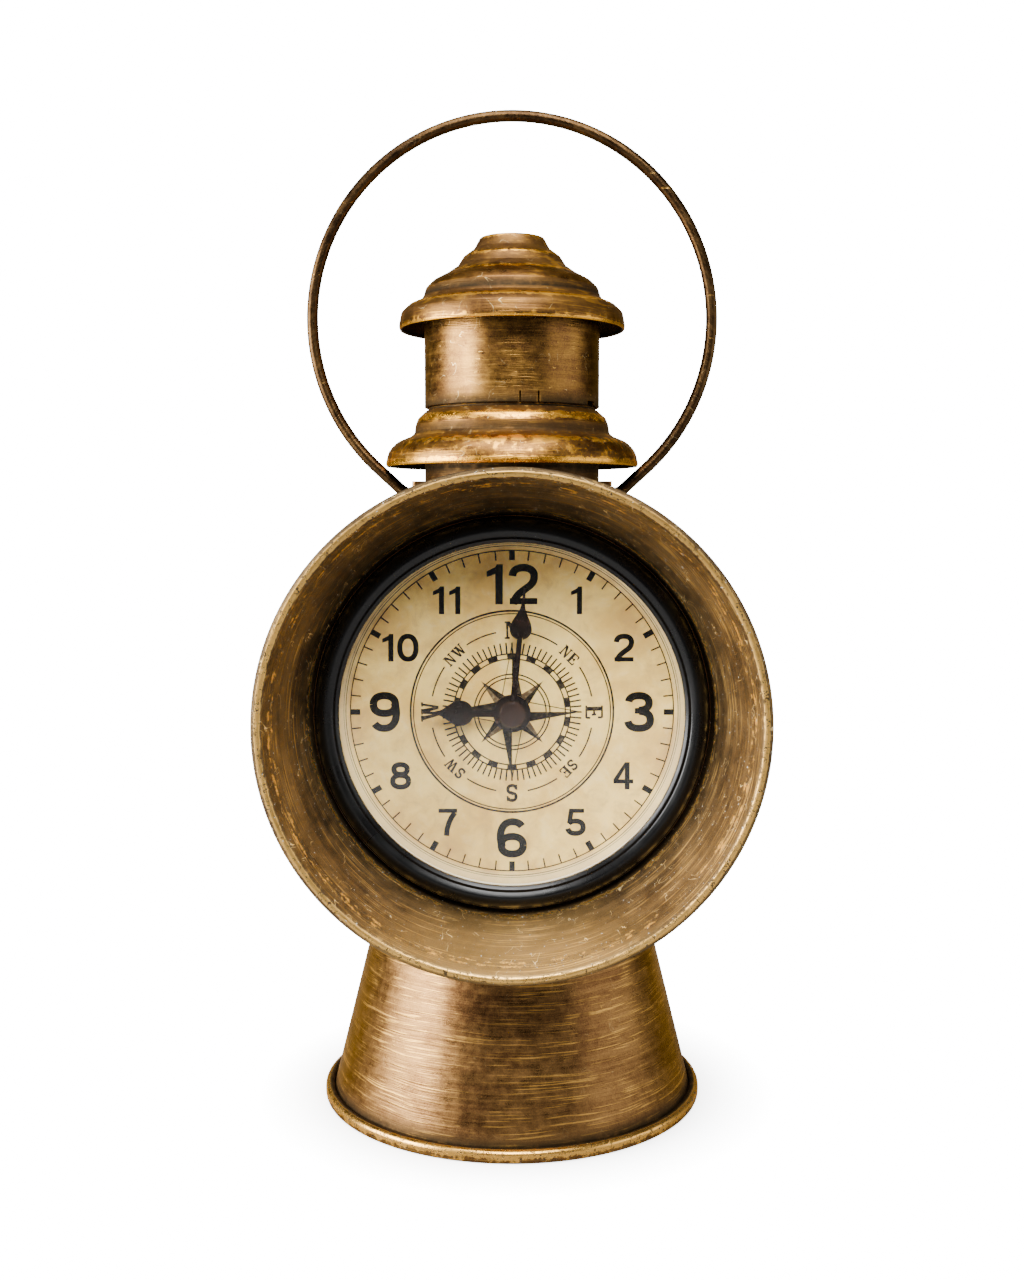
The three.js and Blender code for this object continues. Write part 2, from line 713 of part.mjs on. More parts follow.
// The bezel ring: a rounded black ring, rebated for the lens, with a skirt round the case
function bezelRing() {
  const front = ringShares.map(([across, out]) => [lensOpening + ringBand * across, ringBack - ringHeight * out]);
  const skirtBack = ringBack + ringSkirt;
  return turned(ring([
    [lensOpening, rebateFace], ...front, [skirtRadius, ringBack], [skirtRadius, skirtBack],
    [skirtInner, skirtBack], [skirtInner, ringBack], [rebateRadius, ringBack], [rebateRadius, rebateFace],
  ]));
}

// The lens: a flat edge in the rebate and a shallow dome inside the ring
function lens() {
  const dome = lensOpening - 2 * seat;
  const domePoints = (place, rise) => Array.from({ length: lensSteps + 1 }, (_, i) => {
    const share = i / lensSteps;
    return [dome * share, place - rise * (1 - share * share)];
  });
  const inside = domePoints(lensBack, lensRise + lensEdge - lensWall).reverse();
  return turned([...domePoints(lensFront, lensRise), [lensRadius, lensFront], [lensRadius, lensBack], ...inside]);
}

function dialSpacer() {
  const inner = dialRadius - spacerWall;
  return turned(ring([
    [dialRadius, spacerFront], [dialRadius, spacerBack], [inner, spacerBack], [inner, spacerFront],
  ]));
}

function dial() {
  const hole = bushRadius + bushPlay;
  return turned(ring([
    [dialRadius, dialFront], [dialRadius, dialBack], [hole, dialBack], [hole, dialFront],
  ]));
}

// The insert's case: a cup with a shoulder for the dial and an opening round the movement
function insertCase() {
  const inner = caseInner - caseShoulder;
  const cup = solid(turned([
    [0, caseBack - caseBackSheet], [inner, caseBack - caseBackSheet], [inner, shoulderFace],
    [caseInner, shoulderFace], [caseInner, 0], [caseRadius, 0], [caseRadius, caseBack], [0, caseBack],
  ]));
  const side = boxSide + caseOpeningPlay;
  return surface(cut(cup, block(
    -side, side, caseBack - caseBackSheet - overrun, caseBack + overrun,
    boxBottom - caseOpeningPlay, boxTop + caseOpeningPlay,
  )));
}

// The gasket: a rubber band with ribs that press on the drum's turned-in mouth
function gripGasket() {
  const front = ringBack + ringSkirt + seat;
  const step = gasketLength / gasketRibs;
  const ribs = Array.from({ length: gasketRibs }, (_, i) => [
    [gasketRadius - gasketRib, front + i * step],
    [gasketRadius, front + (i + 0.5) * step],
  ]).flat();
  const back = front + gasketLength;
  return turned(ring([[skirtInner, front], ...ribs, [gasketRadius - gasketRib, back], [skirtInner, back]]));
}

// The movement's front case: a tray with the bush, posts for the middle plate and bearings
function movementFrontCase() {
  const back = coverFront - seat;
  const tray = solid(block(-boxSide, boxSide, boxFront, back, boxBottom, boxTop));
  const room = block(-boxInner, boxInner, plateInner, back + overrun, boxBottom + boxWall, boxTop - boxWall);
  const bush = rod(bushRadius, bushFront, plateInner, undefined, boreTurns);
  const bore = rod(bushBore, bushFront - overrun, plateInner + overrun, undefined, boreTurns);
  const posts = middleCorners.map((at) => rod(postRadius, plateInner - boxWall / 2, middleFront - seat, at));
  const bearings = [third, setting].map((at) => rod(
    arborRadius + arborPlay, plateInner - bearingDepth, plateInner + overrun, at,
  ));
  const hollow = cut(tray, room).add(solid(bush));
  const standing = posts.reduce((whole, post) => whole.add(solid(post)), hollow);
  return surface(cut(standing, bore, ...bearings));
}

// The movement's back cover: closes the wheels' half, beside the open battery trough
function movementBackCover() {
  const lid = block(-boxSide, boxSide, coverFront, boxBack, partitionBottom, boxTop);
  const wall = block(
    -boxInner + seat, boxInner - seat, plateInner + seat, coverFront + coverSheet / 2,
    partitionBottom, partitionTop,
  );
  const wheels = [third, handsAxis, fifth, rotor];
  const bosses = wheels.map((at) => rod(bossRadius, bossFront, coverFront + coverSheet / 2, at));
  const pads = [-1, 1].map((side) => rod(postRadius, statorFront + statorSheet + seat, coverFront + coverSheet / 2, {
    right: rotor.right + side * (coreHalf - coreLap / 2), up: (statorBottom + statorTop) / 2,
  }));
  const bearings = wheels.map((at) => rod(
    arborRadius + arborPlay, bossFront - overrun, coverFront + bearingDepth, at,
  ));
  const settingHole = rod(settingArborRadius + arborPlay, coverFront - overrun, boxBack + overrun, setting, boreTurns);
  return surface(cut(joined(lid, wall, ...bosses, ...pads), ...bearings, settingHole));
}

// The middle plate carries the front pivots of the wheels behind it
function middlePlate() {
  const { left, right, bottom, top } = middleEdges;
  const pivot = arborRadius + arborPlay;
  const holes = [handsAxis, third, fifth, rotor].map((at) => circlePoints(pivot, smallTurns, at));
  const shape = outline([[left, bottom], [right, bottom], [right, top], [left, top]]);
  return plate(
    withHoles(shape, ...holes, circlePoints(settingArborRadius + arborPlay, smallTurns, setting)),
    middleFront, middleBack,
  );
}

function washer(outer, inner, front, back) {
  return turned(ring([[outer, front], [outer, back], [inner, back], [inner, front]]), boreTurns);
}

// A hexagon nut on the threaded bush
function mountingNut() {
  const corner = nutAcross / 2 / Math.cos(Math.PI / 6);
  const shape = outline(circlePoints(corner, 6));
  return plate(withHoles(shape, circlePoints(bushRadius + bushPlay, boreTurns)), nutFront, nutFront + nutHeight);
}

// One wheel of the movement, in its own layer
function wheel(teeth, distance, otherTeeth, phase, layer, at) {
  return plate(outline(gearPoints(teeth, distance, otherTeeth, phase)), layer, layer + wheelSheet, at);
}

// The minute arbor: a rear pivot, a pinion of twelve and the seat of the minute hand
function minuteArbor() {
  const arbor = rod(minuteArborRadius, capNutBack - capNutHeight / 2, middleFront - wheelGap, undefined, boreTurns);
  const pivot = rod(arborRadius, centreLayer, middleFront + wheelGap);
  const pinion = wheel(minutePinionTeeth, motionDistance, settingTeeth, 0, minuteLayer);
  return surface(joined(arbor, pivot, pinion));
}

// The setting wheel and its pinion, on an arbor that goes out through the back cover
function settingWheel() {
  const wheelPhase = gapPhase(0, settingTeeth);
  const pinionPhase = gapPhase(0, settingPinionTeeth);
  const arbor = rod(settingArborRadius, hourLayer, knobBack - seat, setting);
  const pivot = rod(arborRadius, frontPivot, minuteLayer, setting);
  const pinion = plate(
    outline(gearPoints(settingPinionTeeth, motionDistance, hourTeeth, pinionPhase)),
    hourLayer, minuteLayer + wheelSheet / 2, setting,
  );
  const large = wheel(settingTeeth, motionDistance, minutePinionTeeth, wheelPhase, minuteLayer, setting);
  return surface(joined(arbor, pivot, pinion, large));
}

// The setting knob: a notched disc pressed on the setting arbor behind the cover
function settingKnob() {
  const rim = Array.from({ length: knobNotches }, (_, i) => {
    const turn = (2 * Math.PI) / knobNotches;
    return [knobRadius, knobRadius, knobRadius - knobNotch, knobRadius - knobNotch].map((radius, step) => {
      const at = (i + step / 4) * turn;
      return [radius * Math.cos(at), radius * Math.sin(at)];
    });
  }).flat();
  const hole = circlePoints(settingArborRadius + arborPlay, smallTurns);
  return plate(withHoles(outline(rim), hole), knobFront, knobBack, setting);
}

// The hour wheel and its pipe, which turns in the bush and carries the hour hand
function hourWheel() {
  const pipe = rod(pipeRadius, hourHandBack - handSheet - arborPlay, hourLayer + wheelSheet, undefined, boreTurns);
  const teeth = wheel(hourTeeth, motionDistance, settingPinionTeeth, 0, hourLayer);
  const bore = rod(pipeBore, hourHandBack - overrun, hourLayer + overrun, undefined, boreTurns);
  return surface(cut(joined(pipe, teeth), bore));
}

// The centre wheel slips on the minute arbor when the hands are set
function centreWheel() {
  const shape = outline(gearPoints(centreTeeth, trainDistance, trainPinionTeeth, thirdTurn));
  const hole = circlePoints(pipeBore, boreTurns);
  return plate(withHoles(shape, hole), centreLayer, centreLayer + wheelSheet);
}

// A wheel and a pinion of six on one arbor between two bearings
function trainWheel({ at, teeth, distance, phase, layer, pinion, front, back }) {
  const arbor = rod(arborRadius, front, back, at);
  const large = wheel(teeth, distance, trainPinionTeeth, phase, layer, at);
  const leaves = plate(
    outline(gearPoints(trainPinionTeeth, pinion.distance, pinion.otherTeeth, pinion.phase)),
    Math.min(pinion.layer, layer), Math.max(pinion.layer, layer) + wheelSheet, at,
  );
  return surface(joined(arbor, large, leaves));
}

// The third wheel: its pinion stands apart from it, in front of the middle plate
function thirdWheel() {
  const arbor = rod(arborRadius, frontPivot, rearPivot, third);
  const wheelPhase = gapPhase(thirdTurn, thirdTeeth);
  const pinionPhase = gapPhase(thirdTurn, trainPinionTeeth);
  const large = wheel(thirdTeeth, trainDistance, trainPinionTeeth, wheelPhase, thirdLayer, third);
  const leaves = wheel(trainPinionTeeth, trainDistance, centreTeeth, pinionPhase, centreLayer, third);
  return surface(joined(arbor, large, leaves));
}

function secondsWheel() {
  return trainWheel({
    at: handsAxis, teeth: secondsTeeth, distance: secondsDistance, phase: fifthTurn, layer: secondsLayer,
    pinion: { distance: trainDistance, otherTeeth: thirdTeeth, phase: thirdTurn, layer: thirdLayer },
    front: middlePivot, back: rearPivot,
  });
}

function fifthWheel() {
  return trainWheel({
    at: fifth, teeth: fifthTeeth, distance: fifthDistance, phase: rotorTurn, layer: fifthLayer,
    pinion: {
      distance: secondsDistance, otherTeeth: secondsTeeth,
      phase: gapPhase(fifthTurn, trainPinionTeeth), layer: secondsLayer,
    },
    front: middlePivot, back: rearPivot,
  });
}

// The rotor: a round magnet and a pinion of six on one arbor
function rotorWithMagnet() {
  const arbor = rod(arborRadius, middlePivot, rearPivot, rotor);
  const pinionPhase = gapPhase(rotorTurn, trainPinionTeeth);
  const leaves = wheel(trainPinionTeeth, fifthDistance, fifthTeeth, pinionPhase, fifthLayer, rotor);
  const magnet = rod(magnetRadius, magnetFront, magnetBack, rotor, boreTurns);
  return surface(joined(arbor, leaves, magnet));
}

// The stator: a soft iron plate with a hole round the magnet and two legs to the coil's core
function stator() {
  const inside = coreHalf - coreLap;
  const top = coilUp + coreWidth / 2;
  const shape = outline([
    [-coreHalf, statorBottom], [coreHalf, statorBottom], [coreHalf, top], [inside, top], [inside, statorTop],
    [-inside, statorTop], [-inside, top], [-coreHalf, top],
  ]);
  const hole = circlePoints(statorHole, boreTurns, { right: 0, up: rotor.up });
  return plate(withHoles(shape, hole), statorFront, statorFront + statorSheet, { right: rotor.right, up: 0 });
}

function coilCore() {
  return block(
    rotor.right - coreHalf, rotor.right + coreHalf, coilAxisDepth - coreSheet / 2, coilAxisDepth + coreSheet / 2,
    coilUp - coreWidth / 2, coilUp + coreWidth / 2,
  );
}

// The coil: a winding between the two flanges of its bobbin
function coil() {
  const half = coilLength / 2;
  const flange = half - coilFlangeSheet;
  return turned(ring([
    [coilBore, -half], [coilFlange, -half], [coilFlange, -flange], [coilRadius, -flange],
    [coilRadius, flange], [coilFlange, flange], [coilFlange, half], [coilBore, half],
  ]), boreTurns).rotateZ(Math.PI / 2).translate(rotor.right, coilAxisDepth, coilUp);
}

function circuitBoard() {
  const bottom = partitionTop + seat;
  return block(boardLeft, boardLeft + boardWidth, boardBack - boardSheet, boardBack, bottom, bottom + boardHeight);
}

function crystal() {
  const can = new THREE.CylinderGeometry(crystalRadius, crystalRadius, crystalLength, smallTurns);
  return can.rotateX(Math.PI / 2)
    .translate(boardLeft + boardWidth / 2, boardBack - boardSheet - seat - crystalRadius, 0);
}

// The battery lies across the trough, its raised contact to the right
function battery() {
  return turned([
    [0, 0], [batteryRadius, 0], [batteryRadius, batteryLength], [batteryNubRadius, batteryLength],
    [batteryNubRadius, batteryLength + batteryNub], [0, batteryLength + batteryNub],
  ], boreTurns).rotateZ(-Math.PI / 2).translate(batteryLeft, batteryDepth, batteryUp);
}

// A battery contact: a strip in its slot, bowed towards the battery by the given reach
function batteryContact(wallPlace, bow) {
  const front = plateInner + seat;
  const back = coverFront - seat;
  const face = wallPlace + Math.sign(bow) * contactSheet;
  const rise = (back - front) * bowShare;
  const middle = (front + back) / 2;
  const strip = new THREE.ExtrudeGeometry(outline([
    [wallPlace, front], [wallPlace, back], [face, back], [face, middle + rise], [face + bow, middle],
    [face, middle - rise], [face, front],
  ]), { depth: contactHeight, bevelEnabled: false });
  return strip.translate(0, 0, batteryUp - contactHeight / 2);
}

// A spade hand on its hub, drawn straight up
function hand(length, hub, shares, bore, front) {
  const right = shares.map(([across, along]) => [across * length, along * length]);
  const left = right.map(([across, along]) => [-across, along]).reverse();
  const start = Math.acos(right[0][0] / hub);
  const round = arc([0, 0], hub, Math.PI - start, 2 * Math.PI + start, boreTurns);
  const shape = outline([...right, [0, length], ...left, ...round]);
  return plate(withHoles(shape, circlePoints(bore, boreTurns)), front, front + handSheet);
}

// The cap nut: a round closed nut with a soft edge
function capNut() {
  const front = capNutBack - capNutHeight;
  const bore = minuteArborRadius + handPlay;
  const edge = capNutHeight / 4;
  return turned([
    [0, capNutBack - 3 * edge], [bore, capNutBack - 3 * edge], [bore, capNutBack], [capNutRadius, capNutBack],
    [capNutRadius, front + edge], [capNutRadius - edge, front], [0, front],
  ], boreTurns);
}

const bronze = new THREE.MeshStandardMaterial({ color: 0x6b4a24, roughness: 0.42, metalness: 0.9 });
const wornBronze = new THREE.MeshStandardMaterial({ color: 0x8a672f, roughness: 0.38, metalness: 0.9 });
const blackPlastic = new THREE.MeshStandardMaterial({ color: 0x0c0c0d, roughness: 0.22, metalness: 0 });
const whitePlastic = new THREE.MeshStandardMaterial({ color: 0xd8d2c2, roughness: 0.5, metalness: 0 });
const rubber = new THREE.MeshStandardMaterial({ color: 0x1a1a1a, roughness: 0.8, metalness: 0 });
const parchment = new THREE.MeshStandardMaterial({ color: 0xd9c08c, roughness: 0.7, metalness: 0 });
const glass = new THREE.MeshStandardMaterial({
  color: 0xffffff, roughness: 0.03, metalness: 0, transparent: true, opacity: 0.15,
});
const handMetal = new THREE.MeshStandardMaterial({ color: 0x1d120d, roughness: 0.4, metalness: 0.3 });
const brass = new THREE.MeshStandardMaterial({ color: 0xc09a4a, roughness: 0.35, metalness: 1 });
const steel = new THREE.MeshStandardMaterial({ color: 0xb9bbbe, roughness: 0.35, metalness: 1 });
const copper = new THREE.MeshStandardMaterial({ color: 0xb4622f, roughness: 0.4, metalness: 0.8 });
const boardGreen = new THREE.MeshStandardMaterial({ color: 0x1f5a35, roughness: 0.5, metalness: 0 });
const cellBlack = new THREE.MeshStandardMaterial({ color: 0x2b2d31, roughness: 0.4, metalness: 0.1 });

function piece(name, geometry, material) {
  const mesh = new THREE.Mesh(geometry, material);
  mesh.name = name;
  return mesh;
}

// The case stands on the table, around the column's axis
const lanternCase = new THREE.Group();
lanternCase.add(
  piece('base_pan', basePan(), wornBronze),
  piece('base_cone', baseCone(), bronze),
  piece('body_column', bodyColumn(), bronze),
  piece('lower_hood', lowerHood(), wornBronze),
  piece('chimney_sleeve', chimneySleeve(), bronze),
  piece('chimney_cap', chimneyCap(), wornBronze),
  piece('bail_handle', bailHandle(), bronze),
  piece('bail_ear_right', bailEar(), bronze),
);
const leftEar = piece('bail_ear_left', bailEar(), bronze);
leftEar.rotation.z = Math.PI;
lanternCase.add(leftEar);
for (const { name, turn } of rivetPlaces) {
  const mesh = piece(`ear_rivet_${name}`, rivet(), wornBronze);
  mesh.rotation.z = turn;
  lanternCase.add(mesh);
}

// The clock insert and its seat lie round the hands' axis
const clock = new THREE.Group();
clock.position.set(0, mouthPlace, axisHeight);
clock.add(
  piece('clock_drum', clockDrum(), bronze),
  piece('front_funnel', frontFunnel(), wornBronze),
  piece('bezel_ring', bezelRing(), blackPlastic),
  piece('lens', lens(), glass),
  piece('dial_spacer', dialSpacer(), whitePlastic),
  piece('dial', dial(), parchment),
  piece('insert_case', insertCase(), blackPlastic),
  piece('grip_gasket', gripGasket(), rubber),
  piece('movement_front_case', movementFrontCase(), blackPlastic),
  piece('movement_back_cover', movementBackCover(), blackPlastic),
  piece('middle_plate', middlePlate(), whitePlastic),
  piece('rubber_washer', washer(cushionRadius, bushRadius + bushPlay, shoulderFace, cushionBack), rubber),
  piece('brass_washer', washer(washerRadius, bushRadius + bushPlay, washerFront, washerFront + washerSheet), brass),
  piece('mounting_nut', mountingNut(), brass),
  piece('minute_arbor', minuteArbor(), brass),
  piece('setting_wheel', settingWheel(), whitePlastic),
  piece('setting_knob', settingKnob(), blackPlastic),
  piece('hour_wheel', hourWheel(), whitePlastic),
  piece('centre_wheel', centreWheel(), whitePlastic),
  piece('third_wheel', thirdWheel(), whitePlastic),
  piece('seconds_wheel', secondsWheel(), whitePlastic),
  piece('fifth_wheel', fifthWheel(), whitePlastic),
  piece('rotor', rotorWithMagnet(), steel),
  piece('stator', stator(), steel),
  piece('coil_core', coilCore(), steel),
  piece('coil', coil(), copper),
  piece('circuit_board', circuitBoard(), boardGreen),
  piece('crystal', crystal(), steel),
  piece('battery', battery(), cellBlack),
  piece('battery_contact_plus', batteryContact(boxInner - seat, -seat), steel),
  piece('battery_contact_minus', batteryContact(seat - boxInner, contactBow), steel),
  piece('cap_nut', capNut(), handMetal),
);
const hourHand = hand(hourHandLength, hourHandHub, hourHandShares, pipeRadius + handPlay, hourHandBack - handSheet);
const minuteHand = hand(
  minuteHandLength, minuteHandHub, minuteHandShares, minuteArborRadius + handPlay, minuteHandBack - handSheet,
);
const hourHandPiece = piece('hour_hand', hourHand, handMetal);
hourHandPiece.rotation.y = hourHandTurn;
const minuteHandPiece = piece('minute_hand', minuteHand, handMetal);
minuteHandPiece.rotation.y = minuteHandTurn;
clock.add(hourHandPiece, minuteHandPiece);

const lanternClock = new THREE.Group();
lanternClock.add(lanternCase, clock);
export default lanternClock;
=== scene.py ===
# Lantern clock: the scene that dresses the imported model.
from math import acos, asin, atan2, ceil, cos, exp, hypot, pi, radians, sin, sqrt, tan

import bmesh
import bpy
from mathutils import Matrix, Vector
from mathutils.geometry import delaunay_2d_cdt


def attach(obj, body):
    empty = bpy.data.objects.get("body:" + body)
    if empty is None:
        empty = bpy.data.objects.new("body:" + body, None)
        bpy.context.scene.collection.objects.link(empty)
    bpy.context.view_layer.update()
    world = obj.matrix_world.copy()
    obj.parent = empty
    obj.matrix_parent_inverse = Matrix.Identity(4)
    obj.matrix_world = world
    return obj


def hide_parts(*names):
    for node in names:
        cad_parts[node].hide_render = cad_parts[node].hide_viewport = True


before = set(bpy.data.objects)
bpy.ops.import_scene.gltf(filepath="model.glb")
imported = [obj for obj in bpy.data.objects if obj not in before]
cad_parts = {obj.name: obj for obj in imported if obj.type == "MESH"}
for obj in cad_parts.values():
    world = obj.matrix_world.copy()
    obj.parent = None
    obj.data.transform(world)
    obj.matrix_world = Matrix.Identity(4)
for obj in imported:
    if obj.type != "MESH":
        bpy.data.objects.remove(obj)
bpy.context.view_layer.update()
mm = 0.001


# The camera stands close to the clock, a little above the dial, and looks slightly down at it.
# Its lens and its place are fitted to the outlines of foot, cap, bail and funnel.
camera_place, look_down = (0, -0.4695, 0.187), radians(4.75)


def placed(name, data):
    """A new object of the scene."""
    made = bpy.data.objects.new(name, data)
    bpy.context.scene.collection.objects.link(made)
    return made


camera = bpy.data.cameras.new("camera")
camera.lens, camera.sensor_width = 40.95, 36
camera_object = placed("camera", camera)
camera_object.location = camera_place
camera_object.rotation_euler = (pi / 2 - look_down, 0, 0)
bpy.context.scene.camera = camera_object

# A tall soft box at the left draws the long highlight on the cylinder and the cone, with a small one
# beside it for the dial. A wide weak one at the right opens the shadows, and two above light the
# funnel's floor, the dial and the tops of the hoods.
for name, place, aim, size, power in (
    ("left_box", (-0.89, -0.30, 0.28), (0, 0, 0.16), (0.68, 0.90), 27),
    ("fill_box", (-0.82, -0.50, 0.34), (0, -0.04, 0.14), (0.35, 0.50), 4),
    ("right_box", (0.95, -0.30, 0.22), (0, 0, 0.12), (0.95, 0.60), 3.1),
    ("top_box", (-0.05, -0.30, 1.02), (0, -0.03, 0.12), (0.80, 0.50), 12),
    ("front_box", (0.05, -0.78, 0.90), (0, -0.04, 0.13), (0.55, 0.35), 12.5),
):
    light = bpy.data.lights.new(name, "AREA")
    light.shape = "RECTANGLE"
    light.size, light.size_y = size
    light.energy = power
    box = placed(name, light)
    box.location = place
    box.rotation_euler = (Vector(aim) - Vector(place)).to_track_quat("-Z", "Y").to_euler()


# The room is a faint warm grey that fills the reflections. The camera itself sees plain white where
# it looks past the sweep.
world_colour, world_strength, white_strength = (0.88, 0.86, 0.84, 1), 0.115, 16


def step(tree, kind, *values, **settings):
    """One shader node, with its shown sockets filled in order; gives its first shown output."""
    made = tree.nodes.new("ShaderNode" + kind)
    for name, setting in settings.items():
        setattr(made, name, setting)
    for socket, value in zip([s for s in made.inputs if s.enabled], values):
        if isinstance(value, bpy.types.NodeSocket):
            tree.links.new(value, socket)
        elif value is not None:
            socket.default_value = (*value, 1) if socket.type == "RGBA" else value
    return next(s for s in made.outputs if s.enabled)


def shown_by_ray(tree, ray, others, chosen, end):
    """Rays of the kind named meet the chosen shader, and all other rays the first one."""
    kind = tree.nodes.new("ShaderNodeLightPath").outputs[ray]
    mixed = step(tree, "MixShader", kind, others, chosen)
    tree.links.new(mixed, tree.nodes[end].inputs["Surface"])


world = bpy.data.worlds.new("studio")
world.use_nodes = True
faint = world.node_tree.nodes["Background"]
faint.inputs["Color"].default_value = world_colour
faint.inputs["Strength"].default_value = world_strength
white = step(world.node_tree, "Background", (1, 1, 1), white_strength)
shown_by_ray(world.node_tree, "Is Camera Ray", faint.outputs[0], white, "World Output")
bpy.context.scene.world = world


# The floor is a pale seamless sheet of paper that runs up behind the clock in one bend. To the camera
# it glows white, apart from a soft shadow painted into its glow round the clock's foot; in the bronze it is a
# dim grey.
sweep_front, sweep_depth, sweep_rise, sweep_bend, sweep_half, bend_steps = -2.2, 1.6, 2.2, 0.6, 3.0, 24
painted_shadow_reach, painted_shadow_end, painted_shadow_glow, full_glow = 0.056, 0.090, 2.0, 16.0


def object_place(tree):
    """Where a point lies, in the piece's own metres."""
    return tree.nodes.new("ShaderNodeTexCoord").outputs["Object"]


sweep_line = [(sweep_front, 0.0), (sweep_depth - sweep_bend, 0.0)]
for i in range(1, bend_steps + 1):
    turn = pi / 2 * i / bend_steps
    sweep_line.append((sweep_depth - sweep_bend * (1 - sin(turn)), sweep_bend * (1 - cos(turn))))
sweep_line.append((sweep_depth, sweep_rise))
sweep = bpy.data.meshes.new("sweep")
sweep.from_pydata(
    [(side * sweep_half, y, z) for y, z in sweep_line for side in (-1, 1)],
    [],
    [(2 * i, 2 * i + 1, 2 * i + 3, 2 * i + 2) for i in range(len(sweep_line) - 1)],
)
sweep.shade_smooth()
sweep_paint = bpy.data.materials.new("sweep_paint")
sweep_paint.use_nodes = True
t = sweep_paint.node_tree
from_foot = step(t, "VectorMath", object_place(t), operation="LENGTH")
# Weaker glow close to the foot: a painted soft shadow.
strength = step(t, "MapRange", from_foot, painted_shadow_reach, painted_shadow_end, painted_shadow_glow, full_glow)
glow = step(t, "Emission", None, strength)
seen = step(t, "AddShader", step(t, "BsdfDiffuse", (1.5, 1.5, 1.5)), glow)
dim = step(t, "BsdfDiffuse", (0.30, 0.295, 0.29))
shown_by_ray(t, "Is Camera Ray", dim, seen, "Material Output")
sweep.materials.append(sweep_paint)
placed("sweep", sweep)


# The base pan: a dish of spun sheet with its edge rolled over into a round rim. The rim has
# the most wear of all, bare gold along its crown with black chips down to the primer.
drum_mouth, dial_height = -41.2, 129.3


def filleted(corners, closed=False, facet=radians(15), straight=radians(89.5), most=0.49):
    """Points round a profile, from corners of (radius, place, fillet, wear, grime and painted shade) in
    millimetres.
    """
    count = len(corners)
    points = []
    for i, corner in enumerate(corners):
        radius, place, fillet, wear, grime_and_shade = (*corner, 0, 0, 0)[:5]
        here = Vector((radius, place))
        before = Vector(corners[i - 1][:2]) - here
        after = Vector(corners[(i + 1) % count][:2]) - here
        inner = closed or 0 < i < count - 1
        if fillet == 0 or not inner or before.angle(after) / 2 > straight:
            points.append((radius, place, wear, grime_and_shade))
            continue
        half = before.angle(after) / 2
        reach = min(fillet / tan(half), most * before.length, most * after.length)
        middle = here + (before.normalized() + after.normalized()).normalized() * (reach / cos(half))
        start = here + before.normalized() * reach - middle
        end = here + after.normalized() * reach - middle
        first, last = atan2(start.y, start.x), atan2(end.y, end.x)
        swing = (last - first + pi) % (2 * pi) - pi
        steps = max(2, round(abs(swing) / facet))
        for i_step in range(steps + 1):
            turn = first + swing * i_step / steps
            spot = middle + Vector((cos(turn), sin(turn))) * start.length
            points.append((spot.x, spot.y, wear, grime_and_shade))
    return points


def closely(points, closed=False, gap=1.5, wear_reach=0.9, grime_and_shade_reach=3.0):
    """The same profile in steps no longer than the gap; wear, and grime with painted shade, fade beyond their
    corners.
    """
    ring = points + points[:1] if closed else points
    fine = []
    for (r0, p0, w0, g0), (r1, p1, w1, g1) in zip(ring, ring[1:]):
        length = hypot(r1 - r0, p1 - p0)
        steps = max(1, ceil(length / gap))
        for i_step in range(steps):
            near = length * i_step / steps
            far = length - near
            fine.append((
                r0 + (r1 - r0) * i_step / steps, p0 + (p1 - p0) * i_step / steps,
                max(w0 * exp(-(near / wear_reach) ** 2), w1 * exp(-(far / wear_reach) ** 2)),
                max(g0 * exp(-(near / grime_and_shade_reach) ** 2), g1 * exp(-(far / grime_and_shade_reach) ** 2)),
            ))
    return fine if closed else fine + points[-1:]


def shell(corners, wall, sharpest=0.4):
    """The closed profile of a sheet: its outer side as given, and its inner side one wall further in, with
    full grime and painted shade.
    """
    inner = []
    for i, corner in enumerate(corners):
        fillet = (*corner, 0)[2]
        here = Vector(corner[:2])
        ways = [
            (Vector(corners[j + 1][:2]) - Vector(corners[j][:2])).normalized()
            for j in (i - 1, i) if 0 <= j < len(corners) - 1
        ]
        sides = [Vector((way.y, -way.x)) for way in ways]
        middle = sum(sides, Vector((0, 0))).normalized()
        spot = here + middle * wall / max(middle.dot(sides[0]), sharpest)
        inner.append((max(spot.x, 0), spot.y, fillet, 0, 1))
    return list(corners) + inner[::-1]


def creased(build, crease):
    """Smooth faces, apart from the edges that really are sharp."""
    for face in build.faces:
        face.smooth = True
    for edge in build.edges:
        edge.smooth = len(edge.link_faces) != 2 or edge.calc_face_angle(0) < radians(crease)


def finished_mesh(name, build, crease=38):
    """A piece with its faces turned outwards, from a mesh being built."""
    bmesh.ops.recalc_face_normals(build, faces=build.faces)
    creased(build, crease)
    mesh = bpy.data.meshes.new(name)
    build.to_mesh(mesh)
    build.free()
    return placed(name, mesh)


def before_dial(x, place, y):
    """A spot to the right and above the dial's middle, at a place behind the drum's mouth."""
    return Vector((x, drum_mouth + place, dial_height + y)) * mm


def revolved(name, points, closed=True, about_dial=False, steps=192):
    """A profile turned about the column's axis, or the dial's, with its wear and its grime and painted shade
    as attributes.
    """
    build = bmesh.new()
    wear_layer = build.verts.layers.float.new("wear")
    grime_and_shade_layer = build.verts.layers.float.new("grime_and_shade")
    rows = []
    for radius, place, wear, grime_and_shade in points:
        row = []
        for i_step in range(1 if radius < 1e-6 else steps):
            turn = 2 * pi * i_step / steps
            across, along = radius * cos(turn), radius * sin(turn)
            spot = before_dial(across, place, along) if about_dial else Vector((across, along, place)) * mm
            vert = build.verts.new(spot)
            vert[wear_layer], vert[grime_and_shade_layer] = wear, grime_and_shade
            row.append(vert)
        rows.append(row)
    for row, after in zip(rows, rows[1:] + (rows[:1] if closed else [])):
        for i in range(steps):
            pairs = ((row, i), (row, i + 1), (after, i + 1), (after, i))
            corners = list(dict.fromkeys(ring[place % len(ring)] for ring, place in pairs))
            if len(corners) > 2:
                build.faces.new(corners)
    return finished_mesh(name, build)


